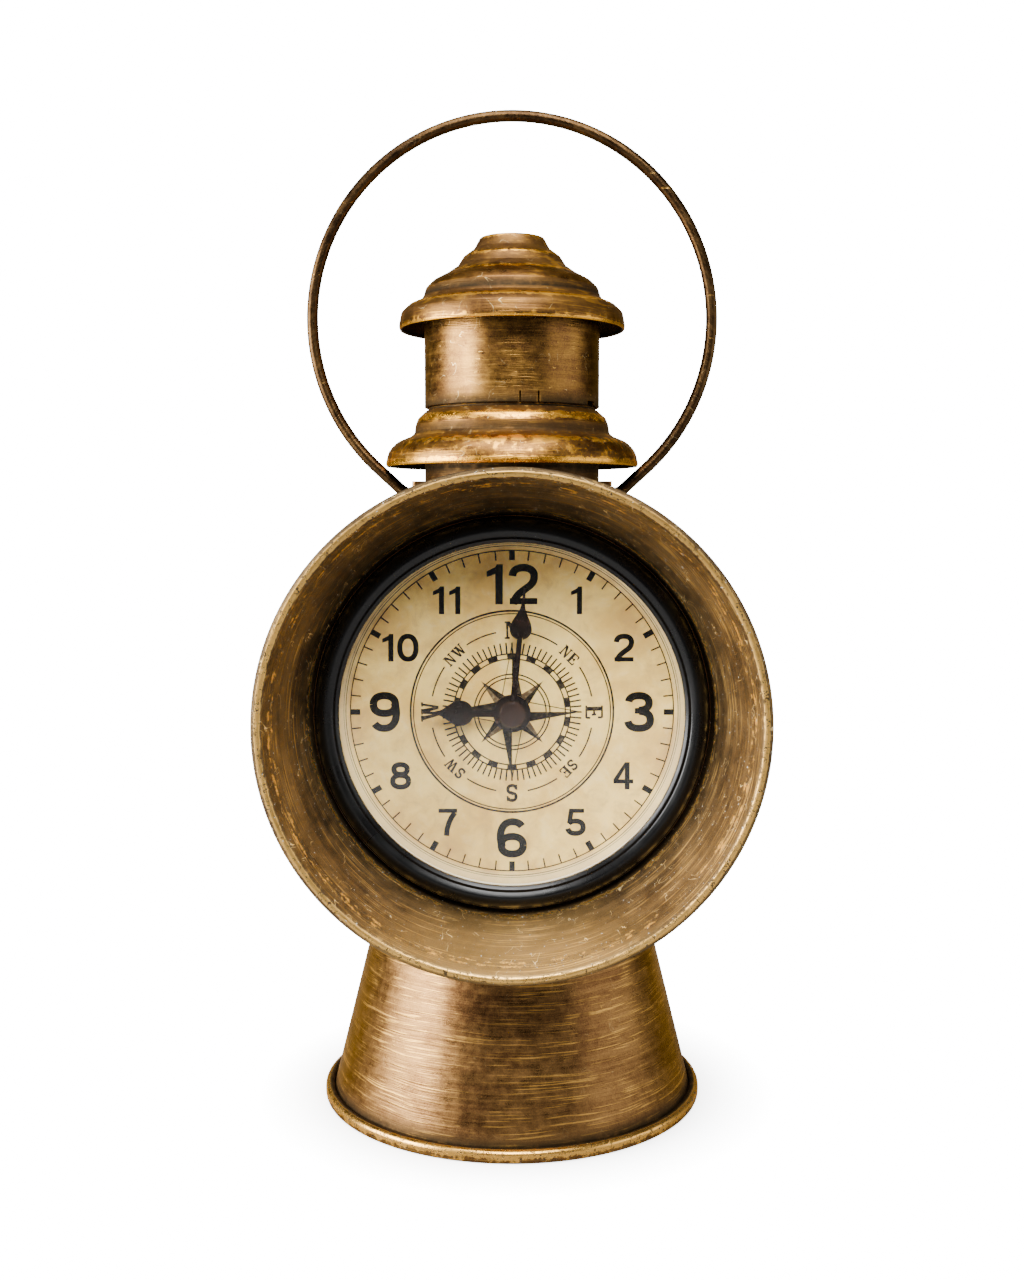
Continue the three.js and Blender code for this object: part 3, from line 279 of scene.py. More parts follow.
def turned(name, corners, closed=True, gap=1.5, **settings):
    """A turned piece from the corners of its profile, rounded, with its wear, grime and painted shade spread.
    """
    return revolved(name, closely(filleted(corners, closed), closed, gap), closed, **settings)


def maths(tree, operation, *values, clamp=False):
    return step(tree, "Math", *values, operation=operation, use_clamp=clamp)


def between(tree, value, *range_ends):
    """A value eased from one range into another, or into nothing to one, and held there."""
    return step(tree, "MapRange", value, *range_ends, interpolation_type="SMOOTHSTEP")


def tinted(tree, share, first, second):
    """Two colours blended by a share."""
    return step(tree, "Mix", share, first, second, data_type="RGBA")


def grain(tree, where, scale, detail=3.0, rough=0.5, bend=0.0, spread=2.0):
    return step(tree, "TexNoise", where, scale, detail, rough, spread, bend)


def in_millimetres(tree):
    """Where a point lies, in the piece's own millimetres."""
    return step(tree, "VectorMath", object_place(tree), (1 / mm,) * 3, operation="MULTIPLY")


# Aged bronze, the finish of all the sheet work: a dark patina rubbed lighter in fine lines round the
# turned form, mottled, scratched, worn to gold on its edges, chipped to black in places, with dirt and
# painted shade darkening its corners, insides and undersides, painted shade darker towards the top where
# asked, and a pale mix of settled dust and painted light towards the bottom. This group works out its
# colour, roughness, height and metal.
bronze_group = bpy.data.node_groups.new("aged bronze", "ShaderNodeTree")
for socket, value in {
    "Patina": (0.12, 0.054, 0.020), "Rubbed": (0.46, 0.244, 0.076), "Gold": (0.94, 0.51, 0.11),
    "About Dial": 0.0, "Rubbing": 0.5, "Lines": 0.5, "Scratches": 0.4, "Wear": 1.0, "Chips": 0.3,
    "Specks": 0.0, "Hairs": 0.15, "Shade Above": 0.0, "Dull": 0.0,
}.items():
    coloured = isinstance(value, tuple)
    kind = "NodeSocketColor" if coloured else "NodeSocketFloat"
    made = bronze_group.interface.new_socket(socket, in_out="INPUT", socket_type=kind)
    made.default_value = (*value, 1) if coloured else value
for socket, kind in (("Color", "Color"), ("Roughness", "Float"), ("Height", "Float"), ("Metal", "Float")):
    bronze_group.interface.new_socket(socket, in_out="OUTPUT", socket_type=f"NodeSocket{kind}")
t = bronze_group
given, taken = t.nodes.new("NodeGroupInput").outputs, t.nodes.new("NodeGroupOutput").inputs


def plus(*values):
    return maths(t, "ADD", *values)


def less(first, second, clamp=False):
    return maths(t, "SUBTRACT", first, second, clamp=clamp)


def times(first, second, clamp=False):
    return maths(t, "MULTIPLY", first, second, clamp=clamp)


def kept_at_corners(name):
    """One of the amounts that a turned profile carries along its corners."""
    step(t, "Attribute", attribute_name=name)
    return t.nodes[-1].outputs["Fac"]


here = in_millimetres(t)
split = t.nodes.new("ShaderNodeSeparateXYZ")
t.links.new(here, split.inputs[0])
x, y, z = split.outputs
up = less(z, dial_height)
across = step(t, "Mix", given["About Dial"], y, up)
along = step(t, "Mix", given["About Dial"], z, y)
radius = maths(t, "SQRT", plus(times(x, x), times(across, across)))
round_x = maths(t, "DIVIDE", x, maths(t, "MAXIMUM", radius, 0.01))
round_y = maths(t, "DIVIDE", across, maths(t, "MAXIMUM", radius, 0.01))
profile = plus(along, times(radius, 0.83))
sway = grain(t, step(t, "CombineXYZ", round_x, round_y, times(profile, 0.03)), 1.3, 2.0)
profile = plus(profile, times(sway, 2.5))


def brushed(turn_scale, line_scale, detail):
    """Noise drawn out into lines round the form."""
    places = times(round_x, turn_scale), times(round_y, turn_scale), times(profile, line_scale)
    return grain(t, step(t, "CombineXYZ", *places), 1.0, detail)


fine_lines, broad_lines = brushed(3.6, 3.4, 1.0), brushed(1.6, 0.55, 4.0)
long_lines = brushed(1.8, 1.7, 3.0)
cloud = grain(t, here, 0.045, 4.0, 0.6, 0.6)
mottle = grain(t, here, 0.33, 5.0, 0.65)
dust = grain(t, here, 2.6, 3.0, 0.7)
wear, grime_and_shade = kept_at_corners("wear"), kept_at_corners("grime_and_shade")

rubbed = plus(times(between(t, cloud, 0.35, 0.68), 0.55), times(between(t, broad_lines, 0.36, 0.70), 0.45))
rubbed = plus(rubbed, times(between(t, mottle, 0.35, 0.7), 0.3))
rubbed = plus(rubbed, times(less(dust, 0.5), 1.8))
rubbed = times(rubbed, given["Rubbing"], clamp=True)
lined = maths(t, "MAXIMUM", between(t, fine_lines, 0.60, 0.70), between(t, long_lines, 0.62, 0.66))
lined = times(times(lined, between(t, cloud, 0.36, 0.60)), given["Lines"])
# Paler towards the bottom where Dull is set: settled dust together with painted light.
settled_dust_and_light = times(between(t, up, -50.0, -70.0, 0.0, 0.6), given["Dull"])
slanted = step(t, "Mapping", here, (0, 0, 0), (0.1, 0.16, 0.1), (0.05, 0.8, 0.9))
scratched = times(between(t, grain(t, slanted, 0.9, 2.0, 0.5, 0.3), 0.70, 0.74), given["Scratches"])
wander = maths(t, "ABSOLUTE", less(grain(t, here, 0.11, 2.5, 0.5, 0.8), 0.5))
hair = times(between(t, wander, 0.0045, 0.0015), between(t, grain(t, here, 0.21, 1.0), 0.54, 0.60))
worn = times(between(t, plus(wear, times(less(mottle, 0.5), 2.3)), 0.34, 0.62), given["Wear"])
worn = times(worn, between(t, wear, 0.0, 0.25))
chipped = times(between(t, grain(t, here, 0.9, 4.0, 0.6, 1.2), 0.58, 0.61), given["Chips"])
chipped = times(chipped, between(t, wear, 0.02, 0.5, 0.12, 1.0))
# Darkened where the profile carries grime: dirt together with painted shade; the shade above is painted
# shade.
dirt_and_shade = times(grime_and_shade, between(t, mottle, 0.2, 0.6, 0.7, 1.0))
shaded = times(given["Shade Above"], between(t, up, 10.0, 62.0))
speckled = times(between(t, grain(t, here, 1.25, 2.0, 0.5), 0.71, 0.745), given["Specks"])

color = tinted(t, rubbed, given["Patina"], given["Rubbed"])
for share, over in (
    (settled_dust_and_light, (0.74, 0.45, 0.13)), (times(lined, 0.8), given["Gold"]),
    (times(scratched, 0.7), given["Gold"]), (times(hair, given["Hairs"]), (0.95, 0.68, 0.30)),
    (worn, given["Gold"]), (chipped, (0.012, 0.010, 0.009)),
    (maths(t, "MAXIMUM", dirt_and_shade, shaded), (0.016, 0.010, 0.005)), (speckled, (0.72, 0.68, 0.58)),
):
    color = tinted(t, share, color, over)
t.links.new(color, taken["Color"])
rough = plus(0.33, times(less(mottle, 0.5), 0.34))
rough = plus(rough, times(less(long_lines, 0.5), 0.22))
rough = less(rough, times(worn, 0.05))
rough = plus(rough, times(plus(dirt_and_shade, speckled), 0.25))
rough = plus(rough, times(given["Dull"], 0.16))
t.links.new(maths(t, "MAXIMUM", rough, 0.18), taken["Roughness"])
height = plus(times(fine_lines, 0.35), times(long_lines, 0.5))
height = plus(height, times(mottle, 0.35))
height = less(height, times(chipped, 0.8))
height = less(height, times(scratched, 0.3))
t.links.new(plus(height, times(dust, 0.05)), taken["Height"])
metal = less(1.0, maths(t, "MAXIMUM", chipped, speckled), clamp=True)
metal = less(metal, times(dirt_and_shade, 0.35))
t.links.new(less(metal, times(given["Dull"], less(1.0, worn)), clamp=True), taken["Metal"])


def new_paint(name):
    """A material and its node tree."""
    paint = bpy.data.materials.new(name)
    paint.use_nodes = True
    return paint, paint.node_tree


def shade(tree, sockets, relief=0.0, height=None):
    """The material's shader, its sockets set or linked by name, with a bump where a height is given."""
    shader = tree.nodes["Principled BSDF"]
    for name, value in sockets.items():
        if isinstance(value, bpy.types.NodeSocket):
            tree.links.new(value, shader.inputs[name])
        else:
            shader.inputs[name].default_value = (*value, 1) if isinstance(value, tuple) else value
    if height is not None:
        bump = tree.nodes.new("ShaderNodeBump")
        bump.inputs["Distance"].default_value = relief
        tree.links.new(height, bump.inputs["Height"])
        tree.links.new(bump.outputs["Normal"], shader.inputs["Normal"])


def bronze(name, relief=0.00012, **settings):
    """A material of the aged bronze, with some of its group's inputs set."""
    paint, tree = new_paint(name)
    finish = tree.nodes.new("ShaderNodeGroup")
    finish.node_tree = bronze_group
    for key, value in settings.items():
        socket = finish.inputs[key.replace("_", " ").title()]
        socket.default_value = (*value, 1) if isinstance(value, tuple) else value
    color, roughness, height, metal = finish.outputs
    shade(tree, {
        "Base Color": color, "Roughness": roughness, "Metallic": metal, "Specular Tint": (1.0, 0.72, 0.38),
    }, relief, height)
    return paint


def dressed(piece, body, slot, paint, *nodes):
    """The piece takes its finish, rides on its body and stands for its nodes of the model."""
    piece.data.materials.clear()
    piece.data.materials.append(paint)
    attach(piece, body)
    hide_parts(*nodes)


pan_radius, pan_height, pan_rim, pan_dirt_and_shade, pan_floor = 61.2, 4.2, 1.5, 2.2, 0.8
pan_inside = pan_radius - 2 * pan_rim
# Inside the rim the pan's wall and floor are painted near black: dirt and painted shade round the cone's
# foot.
pan = turned("pan", [
    (0, 0), (pan_radius, 0, pan_rim, 0.3), (pan_radius, pan_height, pan_rim, 1),
    (pan_inside, pan_height, pan_rim, 0, 1), (pan_inside, pan_dirt_and_shade, 0, 0, 1),
    (pan_inside, pan_floor, 0.4, 0, 1), (0, pan_floor, 0, 0, 1),
], closed=False)
dressed(pan, "case", "worn_bronze", bronze(
    "pan_bronze", rubbed=(0.50, 0.265, 0.075), rubbing=0.5, lines=0.6, scratches=0.3, chips=0.95,
), "base_pan")


# The conical skirt: rolled sheet with a flared foot, which stands in the pan, and a collar round the
# column. It is rubbed in dense fine lines, and notched at the front for the drum and the funnel.
wall = 0.8
# Just above the pan's rim the foot is painted black as shade in the gap.
cone_line = [(57.7, 1.1, 0, 0.9), (57.1, 3.7, 1.5, 0, 1), (28.1, 120.7, 0.6, 0.5), (28.1, 126.7, 0, 0.8)]
drum_play, collar_play, collar_end, drum_end, ahead = 59.1, 60.2, 6.5, 27.7, -40


def without(piece, *tools, crease=38):
    """The piece with the tools cut out of it for good."""
    for tool in tools:
        cut = piece.modifiers.new("cut", "BOOLEAN")
        cut.operation, cut.solver, cut.object = "DIFFERENCE", "EXACT", tool
    bpy.context.view_layer.update()
    mesh = bpy.data.meshes.new_from_object(piece.evaluated_get(bpy.context.evaluated_depsgraph_get()))
    piece.modifiers.clear()
    build = bmesh.new()
    build.from_mesh(mesh)
    creased(build, crease)
    build.to_mesh(mesh)
    build.free()
    piece.data = mesh
    for tool in tools:
        bpy.data.objects.remove(tool)
    return piece


def drum_space():
    """The space of the drum and the funnel's collar, with a little play round them."""
    return revolved("drum_space", filleted([
        (0, ahead), (collar_play, ahead), (collar_play, collar_end), (drum_play, collar_end),
        (drum_play, drum_end), (0, drum_end),
    ]), closed=False, about_dial=True)


dressed(without(turned("cone", shell(cone_line, wall)), drum_space()), "case", "bronze", bronze(
    "cone_bronze", rubbing=0.56, lines=0.85, scratches=0.35, chips=0.10,
), "base_cone")

# The column: a plain rolled tube behind the clock, soldered inside the cone's collar. It is darker
# than the rest, with a few long scratches, and the drum is let into its front. Under the hood its top is
# painted darker as shade.
column_radius, column_foot, column_shade, column_top = 27.0, 115.7, 203.0, 220.1
column = turned("column", shell([
    (column_radius, column_foot), (column_radius, column_shade, 0, 0, 0.5),
    (column_radius, column_top, 0, 0, 1),
], wall))
dressed(without(column, drum_space()), "case", "bronze", bronze(
    "column_bronze", rubbing=0.45, lines=0.5, scratches=0.6, chips=0.05,
), "body_column")

# The lower hood: a shade spun from sheet in two steps, with a bead between them and a neck for the
# sleeve, pressed over the column's top. Its edges are worn to gold, and its neck and the inside under its
# brim are painted dark: dirt and painted shade.
neck, neck_top, shoulder, shoulder_top, hood_top, roof_inside = 25.9, 230.7, 26.75, 222.0, 221.2, 220.4
brim_line = [
    (27.27, hood_top, 0.3, 0.3, 0.5), (29.99, 218.79, 2.5, 0.9), (30.72, 216.78, 1.5, 0.1),
    (31.12, 214.12, 0.8, 0, 0.9), (32.32, 213.06, 0.8, 0.3, 0.5), (36.58, 211.29, 5, 0.5),
    (39.37, 208.46, 5, 0.25), (40.3, 204.39, 2.0, 0.9), (39.9, 203.5, 0.2, 1),
]
hood = turned("hood", [
    (neck - wall, neck_top), (neck, neck_top), (neck, shoulder_top, 0.2, 0, 1),
    (shoulder, shoulder_top, 0.2, 0.4, 0.5), (shoulder, hood_top, 0.2, 0, 1), *shell(brim_line, wall)[:-1],
    (27.3, roof_inside, 0, 0, 1), (neck - wall, roof_inside, 0, 0, 1),
])
dressed(hood, "case", "worn_bronze", bronze(
    "hood_bronze", rubbed=(0.50, 0.235, 0.040), gold=(0.94, 0.44, 0.045), rubbing=0.6, lines=0.6,
    scratches=0.3, hairs=0.7, chips=0.35,
), "lower_hood")


# The chimney sleeve: a tube of rolled sheet that stands on the hood, with a locking tab between two
# slots and a notch in its lower edge. Its front has a bright sheen and fine slanted scratches. Its top
# under the cap is painted dark and its foot a little darker: dirt and painted shade.
sleeve_bottom, sleeve_top = 222.3, 256.9
tab_turn, tab_width, tab_height, slot_width = 0.19, 5.2, 3.2, 0.5
notch_turn, notch_width, notch_height = 1.08, 4.6, 1.2
cut_deep, cut_below = 3.0, 0.6
beside = (tab_width + slot_width) / 2


def block(name, size, where):
    """A block of a size, carried to where it cuts."""
    build = bmesh.new()
    bmesh.ops.create_cube(build, size=1)
    bmesh.ops.transform(build, verts=build.verts, matrix=where @ Matrix.Diagonal((*(Vector(size) * mm), 1)))
    return finished_mesh(name, build)


edge_cuts = []
for turn, middle, width, height in (
    (tab_turn, -beside, slot_width, tab_height), (tab_turn, beside, slot_width, tab_height),
    (notch_turn, 0, notch_width, notch_height),
):
    place = Vector((middle, -column_radius, sleeve_bottom + (height - cut_below) / 2)) * mm
    edge_cuts.append(block("edge_cut", (width, cut_deep, height + cut_below),
                           Matrix.Rotation(turn, 4, "Z") @ Matrix.Translation(place)))
sleeve = turned("sleeve", shell([
    (column_radius, sleeve_bottom, 0, 0.7, 0.4), (column_radius, sleeve_top, 0, 0, 1),
], wall))
dressed(without(sleeve, *edge_cuts), "case", "bronze", bronze(
    "sleeve_bronze", rubbed=(0.49, 0.250, 0.052), rubbing=0.6, lines=0.3, scratches=0.9,
    hairs=0.7, chips=0.08,
), "chimney_sleeve")

# The chimney cap: a shell spun from sheet, whose crown falls in three steps to a deep turned-down
# brim, pressed over the sleeve. The steps' edges and the brim's lip are worn to gold, and their corners
# and the brim's underside are painted dark: dirt and painted shade.
crown_top = 275.39
crown = [
    (0, crown_top), (10.12, crown_top, 0.8, 0.6), (12.08, 271.83, 1.2, 0, 0.6), (15.4, 269.39, 1.2, 0.6),
    (17.31, 266.38, 0.8, 0, 0.6), (20.93, 263.91, 1.5, 0.8), (25.09, 261.69, 2.5, 0.1),
    (27.31, 259.49, 1.5, 0), (28.1, 256.9, 0.6, 0, 1),
]
brim = [
    (29.04, 255.59, 0.8, 0, 0.4), (32.78, 253.96, 1.5, 0.95), (35.12, 251.77, 1.5, 0, 0.35),
    (35.9, 247.59, 2, 0.2), (35.51, 246.49, 0.2, 1),
]
cap = turned("cap", shell(crown + brim, wall), closed=False)
dressed(cap, "case", "worn_bronze", bronze(
    "cap_bronze", rubbed=(0.48, 0.230, 0.044), gold=(0.94, 0.44, 0.045), rubbing=0.5, lines=0.6,
    scratches=0.3, hairs=0.7, chips=0.3,
), "chimney_cap")

# The drum behind the dial: a shallow can of spun sheet, let into the column and soldered there. Its
# mouth is turned in to a hem that grips the clock. Inside the hem it is painted dark: dirt and painted shade.
drum_radius, drum_depth, hem_radius, hem_depth = 58.8, 27.4, 56.9, 7.0
drum_inside, drum_floor = drum_radius - wall, drum_depth - wall
drum = turned("drum", [
    (0, drum_depth), (drum_radius, drum_depth, 0.8, 0.5), (drum_radius, 0), (hem_radius, 0, 0.3),
    (hem_radius, hem_depth), (drum_inside, hem_depth, 0, 0, 1), (drum_inside, drum_floor, 0.5, 0, 1),
    (0, drum_floor, 0, 0, 1),
], closed=False, about_dial=True)
dressed(drum, "case", "bronze", bronze(
    "drum_bronze", about_dial=1.0, rubbing=0.5, lines=0.5, scratches=0.35, chips=0.12,
), "clock_drum")

# The funnel round the dial: a spun cone with a rolled rim, whose collar is pushed over the drum.
# Inside it is olive with concentric lines, flecks of pale dust and chips. It is painted darker towards the
# top as shade, dark at the throat as dirt and painted shade, golden near the throat and the rim as wear
# and painted light, and paler towards the bottom as settled dust and painted light; the rim is worn and
# chipped, and its back is painted dark as dirt and shade.
throat, flare, funnel_depth, roll, collar_back, collar_front = 59.1, 11.0, 32.4, 1.7, 6.2, 0.4
slant = atan2(flare, funnel_depth) - asin(roll / hypot(flare, funnel_depth))
forward, outward = Vector((sin(slant), -cos(slant))), Vector((cos(slant), sin(slant)))
bend = wall * tan(slant / 2)
flank = []
# Along the flank: dark at the throat (dirt and painted shade), golden near the throat and the rim (wear and
# painted light).
for reach, wear_and_light, dirt_and_shade in (
    (1.2, 0, 1), (3.2, 0.55, 0), (4.4, 0.4, 0), (26.0, 0, 0), (28.5, 0.35, 0), (30.5, 0.45, 0),
):
    flank.append((*(Vector((throat, 0)) + forward * reach), 0, wear_and_light, dirt_and_shade))
roll_middle = Vector((throat + flare, -funnel_depth))
roll_start, roll_end, roll_steps = -pi / 2, pi + asin((roll - wall) / roll), 30
for i in range(roll_steps + 1):
    turn = roll_start + (roll_end - roll_start) * i / roll_steps
    spot = roll_middle + forward * roll * cos(turn) + outward * roll * sin(turn)
    worn_here = 0.8 if -0.85 < turn < 0.1 else 0.12
    dirt_and_shade_here = 1.0 if turn > 0.9 else 0.45 if turn > 0.15 else 0
    flank.append((*spot, 0, worn_here, dirt_and_shade_here))
funnel = turned("funnel", [
    (drum_radius, collar_back), (drum_radius, collar_front, 0, 0, 1), (throat, 0, 0.3, 0, 1), *flank,
    (throat + wall, wall * outward.y + bend * forward.y, 0.5, 0, 0.8), (throat + wall, collar_back, 0, 0.4),
], about_dial=True, steps=256)
dressed(funnel, "case", "worn_bronze", bronze(
    "funnel_bronze", about_dial=1.0, patina=(0.036, 0.021, 0.010), rubbed=(0.30, 0.178, 0.068),
    gold=(0.92, 0.54, 0.14), rubbing=0.55, lines=0.7, scratches=0.1, chips=0.95, specks=0.9, hairs=1.0,
    shade_above=0.3, dull=0.45,
), "front_funnel")

# The ears: straps of sheet bent over the ends of the bail, each with an eye for its end and two feet
# that follow the column and are riveted to it.
pivot_height, ear_half, ear_rise, foot_radius, ear_inside, eye = 195.0, 4.6, 4, 27.3, 31.0, 2.15
outer_bend, inner_bend, ear_edge = 1.3, 0.7, 0.18
leg_turn = asin(ear_half / (foot_radius + wall))
foot_end = leg_turn + 0.26
inner_half = ear_half - wall
inner_leg = asin(inner_half / foot_radius)
ear_outside = ear_inside + wall


def arc_points(radius, start, end, steps):
    turns = [start + (end - start) * i / steps for i in range(steps + 1)]
    return [Vector((radius * cos(turn), radius * sin(turn))) for turn in turns]


def rounded_corner(before, corner, after, radius, steps=5):
    """A corner of an outline, rounded."""
    into, out = (before - corner).normalized(), (after - corner).normalized()
    shares = [i / steps for i in range(steps + 1)]
    return [corner + into * radius * (1 - share) ** 2 + out * radius * share ** 2 for share in shares]


def mirrored(points):
    """The same points on the other side of the first axis, in the reverse order."""
    return [Vector((p.x, -p.y)) for p in reversed(points)]


def prism(low, high):
    """A straight body between two outlines, and the edges round its ends."""
    build = bmesh.new()
    ends = [[build.verts.new(spot) for spot in outline] for outline in (low, high)]
    count = len(low)
    for i in range(count):
        after = (i + 1) % count
        build.faces.new((ends[0][i], ends[0][after], ends[1][after], ends[1][i]))
    return build, [edge for end in ends for edge in build.faces.new(end).edges]


def softened(build, edges, width, segments=2, clamp=False):
    bmesh.ops.bevel(
        build, geom=edges, offset=width * mm, segments=segments, affect="EDGES", clamp_overlap=clamp,
    )


def rod(radius, depth, where, segments=40):
    """A short round rod, carried to its place."""
    build = bmesh.new()
    bmesh.ops.create_cone(
        build, cap_ends=True, segments=segments, radius1=radius * mm, radius2=radius * mm, depth=depth * mm,
    )
    bmesh.ops.transform(build, verts=build.verts, matrix=where)
    return build


def beside_column(turn, reach):
    """The way out from the column at the pivot's height, as the length of a rod."""
    place = Matrix.Translation(Vector((reach, 0, pivot_height)) * mm)
    return Matrix.Rotation(turn, 4, "Z") @ place @ Matrix.Rotation(pi / 2, 4, "Y")


def ear(name, turn):
    """A strap seen from above, drawn up to its height, with its edges broken and its eye cut."""
    foot = arc_points(foot_radius + wall, foot_end, leg_turn, 10)
    out_corner, out_middle = Vector((ear_outside, ear_half)), Vector((ear_outside, 0))
    outer = foot + rounded_corner(foot[-1], out_corner, out_middle, outer_bend)
    under = arc_points(foot_radius, inner_leg, foot_end, 12)
    in_corner, in_middle = Vector((ear_inside, inner_half)), Vector((ear_inside, 0))
    inner = rounded_corner(in_middle, in_corner, under[0], inner_bend) + under
    outline = outer + mirrored(outer) + mirrored(inner) + inner
    build, rims = prism(*(
        [Vector((*p, pivot_height + rise)) * mm for p in outline] for rise in (-ear_rise, ear_rise)
    ))
    softened(build, rims, ear_edge)
    bmesh.ops.transform(build, verts=build.verts, matrix=Matrix.Rotation(turn, 4, "Z"))
    strap = finished_mesh(name, build, crease=50)
    return without(strap, finished_mesh("eye", rod(eye, 8, beside_column(turn, ear_outside))), crease=50)


ear_paint = bronze("ear_bronze", rubbing=0.8, lines=0.1, scratches=0.6, chips=0.15)
for side, turn in (("right", 0), ("left", pi)):
    dressed(ear(f"ear_{side}", turn), "case", "bronze", ear_paint, f"bail_ear_{side}")

# The rivets that hold the ears: soft brass, set through the ear's foot and the column's wall, with
# domed heads that are rubbed bright on top.
rivet_in, shank, head, head_seat, head_side, head_top = 25.4, 0.9, 1.7, 28.4, 28.7, 29.3
rivet_turn = (leg_turn + foot_end) / 2
rivet_line = [
    (0, rivet_in), (shank, rivet_in), (shank, head_seat), (head, head_seat, 0.1), (head, head_side, 0.3, 0.4),
    (shank, head_top, 1.2, 0.8), (0, head_top, 0, 0.8),
]
rivet_paint = bronze(
    "rivet_bronze", rubbed=(0.50, 0.33, 0.14), rubbing=0.9, lines=0.1, scratches=0.3, chips=0.1,
)
for name, turn in (
    ("right_front", -rivet_turn), ("right_back", rivet_turn),
    ("left_back", pi - rivet_turn), ("left_front", pi + rivet_turn),
):
    rivet = turned(f"rivet_{name}", rivet_line, closed=False, gap=0.4, steps=32)
    rivet.data.transform(beside_column(turn, 0))
    dressed(rivet, "case", "rivet_metal", rivet_paint, f"ear_rivet_{name}")

# The bail: a round bar bent to a ring, whose straight ends pass through the ears and are clinched to
# heads inside. It is the darkest of the bronze pieces, scuffed all over by hands.
bar, ring_radius, ring_middle, bend_round = 1.8, 63.4, 249.84, 2.4
bend_x, head_out, head_in = ear_outside + 2.2, ear_inside - 0.4, ear_inside - 2.2
drop = pivot_height - ring_middle
ring_start = atan2(drop, bend_x) + acos(ring_radius / hypot(bend_x, drop))
ring = [Vector((p.x, p.y + ring_middle)) for p in arc_points(ring_radius, ring_start, pi - ring_start, 160)]
half_path = [Vector(((head_in + head_out) / 2, pivot_height))]
bend = Vector((bend_x, pivot_height))
half_path += rounded_corner(Vector((0, pivot_height)), bend, ring[0], bend_round, 8)
path = half_path + ring + [Vector((-p.x, p.y)) for p in reversed(half_path)]
bar_round = arc_points(bar, 0, 2 * pi, 20)[:-1]
build = bmesh.new()
rows = []
for i, spot in enumerate(path):
    way = (path[min(i + 1, len(path) - 1)] - path[max(i - 1, 0)]).normalized()
    rows.append([
        build.verts.new(Vector((spot.x - way.y * aside, forth, spot.y + way.x * aside)) * mm)
        for aside, forth in bar_round
    ])
for row, after in zip(rows, rows[1:]):
    for s in range(len(row)):
        build.faces.new((row[s - 1], row[s], after[s], after[s - 1]))
build.faces.new(rows[0])
build.faces.new(rows[-1])
for side in (0, pi):
    clinch = rod(1.5 * bar, head_out - head_in, beside_column(side, (head_in + head_out) / 2), segments=32)
    softened(clinch, [edge for edge in clinch.edges if edge.calc_face_angle(0) > 1], 0.4, 3)
    spare = bpy.data.meshes.new("clinch")
    clinch.to_mesh(spare)
    clinch.free()
    build.from_mesh(spare)
    bpy.data.meshes.remove(spare)
dressed(finished_mesh("bail", build), "bail", "bronze", bronze(
    "bail_bronze", patina=(0.028, 0.015, 0.008), rubbed=(0.22, 0.12, 0.040), rubbing=0.4, lines=0.0,
    scratches=0.6, chips=0.2,
), "bail_handle")

# The bezel ring: moulded gloss black plastic, rounded, with two fine grooves. It clips over the
# insert's case, and its edge stands in front of the drum's mouth.
black_gloss, t = new_paint("black_gloss")
where = object_place(t)
shade(t, {
    "Base Color": (0.002, 0.002, 0.002), "Specular IOR Level": 0.35,
    "Coat Weight": 0.12, "Coat Roughness": 0.12,
    "Roughness": between(t, grain(t, where, 90, 4.0), 0.35, 0.7, 0.26, 0.36),
}, 0.00003, grain(t, where, 400, 3.0))
bezel_ring = turned("bezel_ring", [
    (50.9, -2.8), (50.9, -4.18, 0.25), (51.91, -4.89, 0.6), (52.3, -4.6, 0.15), (52.62, -4.53, 0.15),
    (52.9, -4.75, 0.3), (54.18, -5.4, 1.2), (56.2, -5.04, 2.5), (57.4, -3.9, 1.5), (57.55, -3.55, 0.12),
    (57.8, -3.45, 0.12), (58.08, -2.85, 0.8), (58.7, -0.3, 0.3), (56.3, -0.3), (56.3, 1.3), (54.9, 1.3),
    (54.9, -0.3), (53.3, -0.3), (53.3, -2.8),
], gap=0.8, about_dial=True, steps=256)
dressed(bezel_ring, "insert", "black_gloss", black_gloss, "bezel_ring")

# The lens: a clear dome of moulded plastic with a flat edge, held between the bezel and the spacer.
# Its shadow rays pass straight through, so the dial is lit.
lens_radius, dome_radius, dome_rise, edge_front, edge_back, lens_wall = 53.0, 50.3, 3.4, -2.5, -1.0, 1.3
clear, t = new_paint("clear_lens")
shade(t, {
    "Roughness": 0.02, "Transmission Weight": 1.0, "IOR": 1.47, "Specular IOR Level": 0.2,
    "Base Color": (0.985, 0.99, 0.985),
})
solid = t.nodes["Principled BSDF"].outputs[0]
shown_by_ray(t, "Is Shadow Ray", solid, step(t, "BsdfTransparent"), "Material Output")


def dome(edge, rise, steps=24):
    """Half of a shallow dome's outline, from its middle to its edge."""
    return [(dome_radius * i / steps, edge - rise * (1 - (i / steps) ** 2), 0, 0) for i in range(steps + 1)]


inside_rise = dome_rise + edge_back - edge_front - lens_wall
flat_edge = [(lens_radius, edge_front, 0, 0), (lens_radius, edge_back, 0, 0)]
lens_line = dome(edge_front, dome_rise) + flat_edge + dome(edge_back, inside_rise)[::-1]
lens = revolved("lens", lens_line, closed=False, about_dial=True)
dressed(lens, "insert", "lens_glass", clear, "lens")

# The spacer: an ivory plastic band, moulded to stand between lens and dial. It holds the lens off the
# dial and shows as the dial's bright rim.
dial_radius, spacer_wall, spacer_front, spacer_back = 53.3, 1.0, -0.7, 5.4


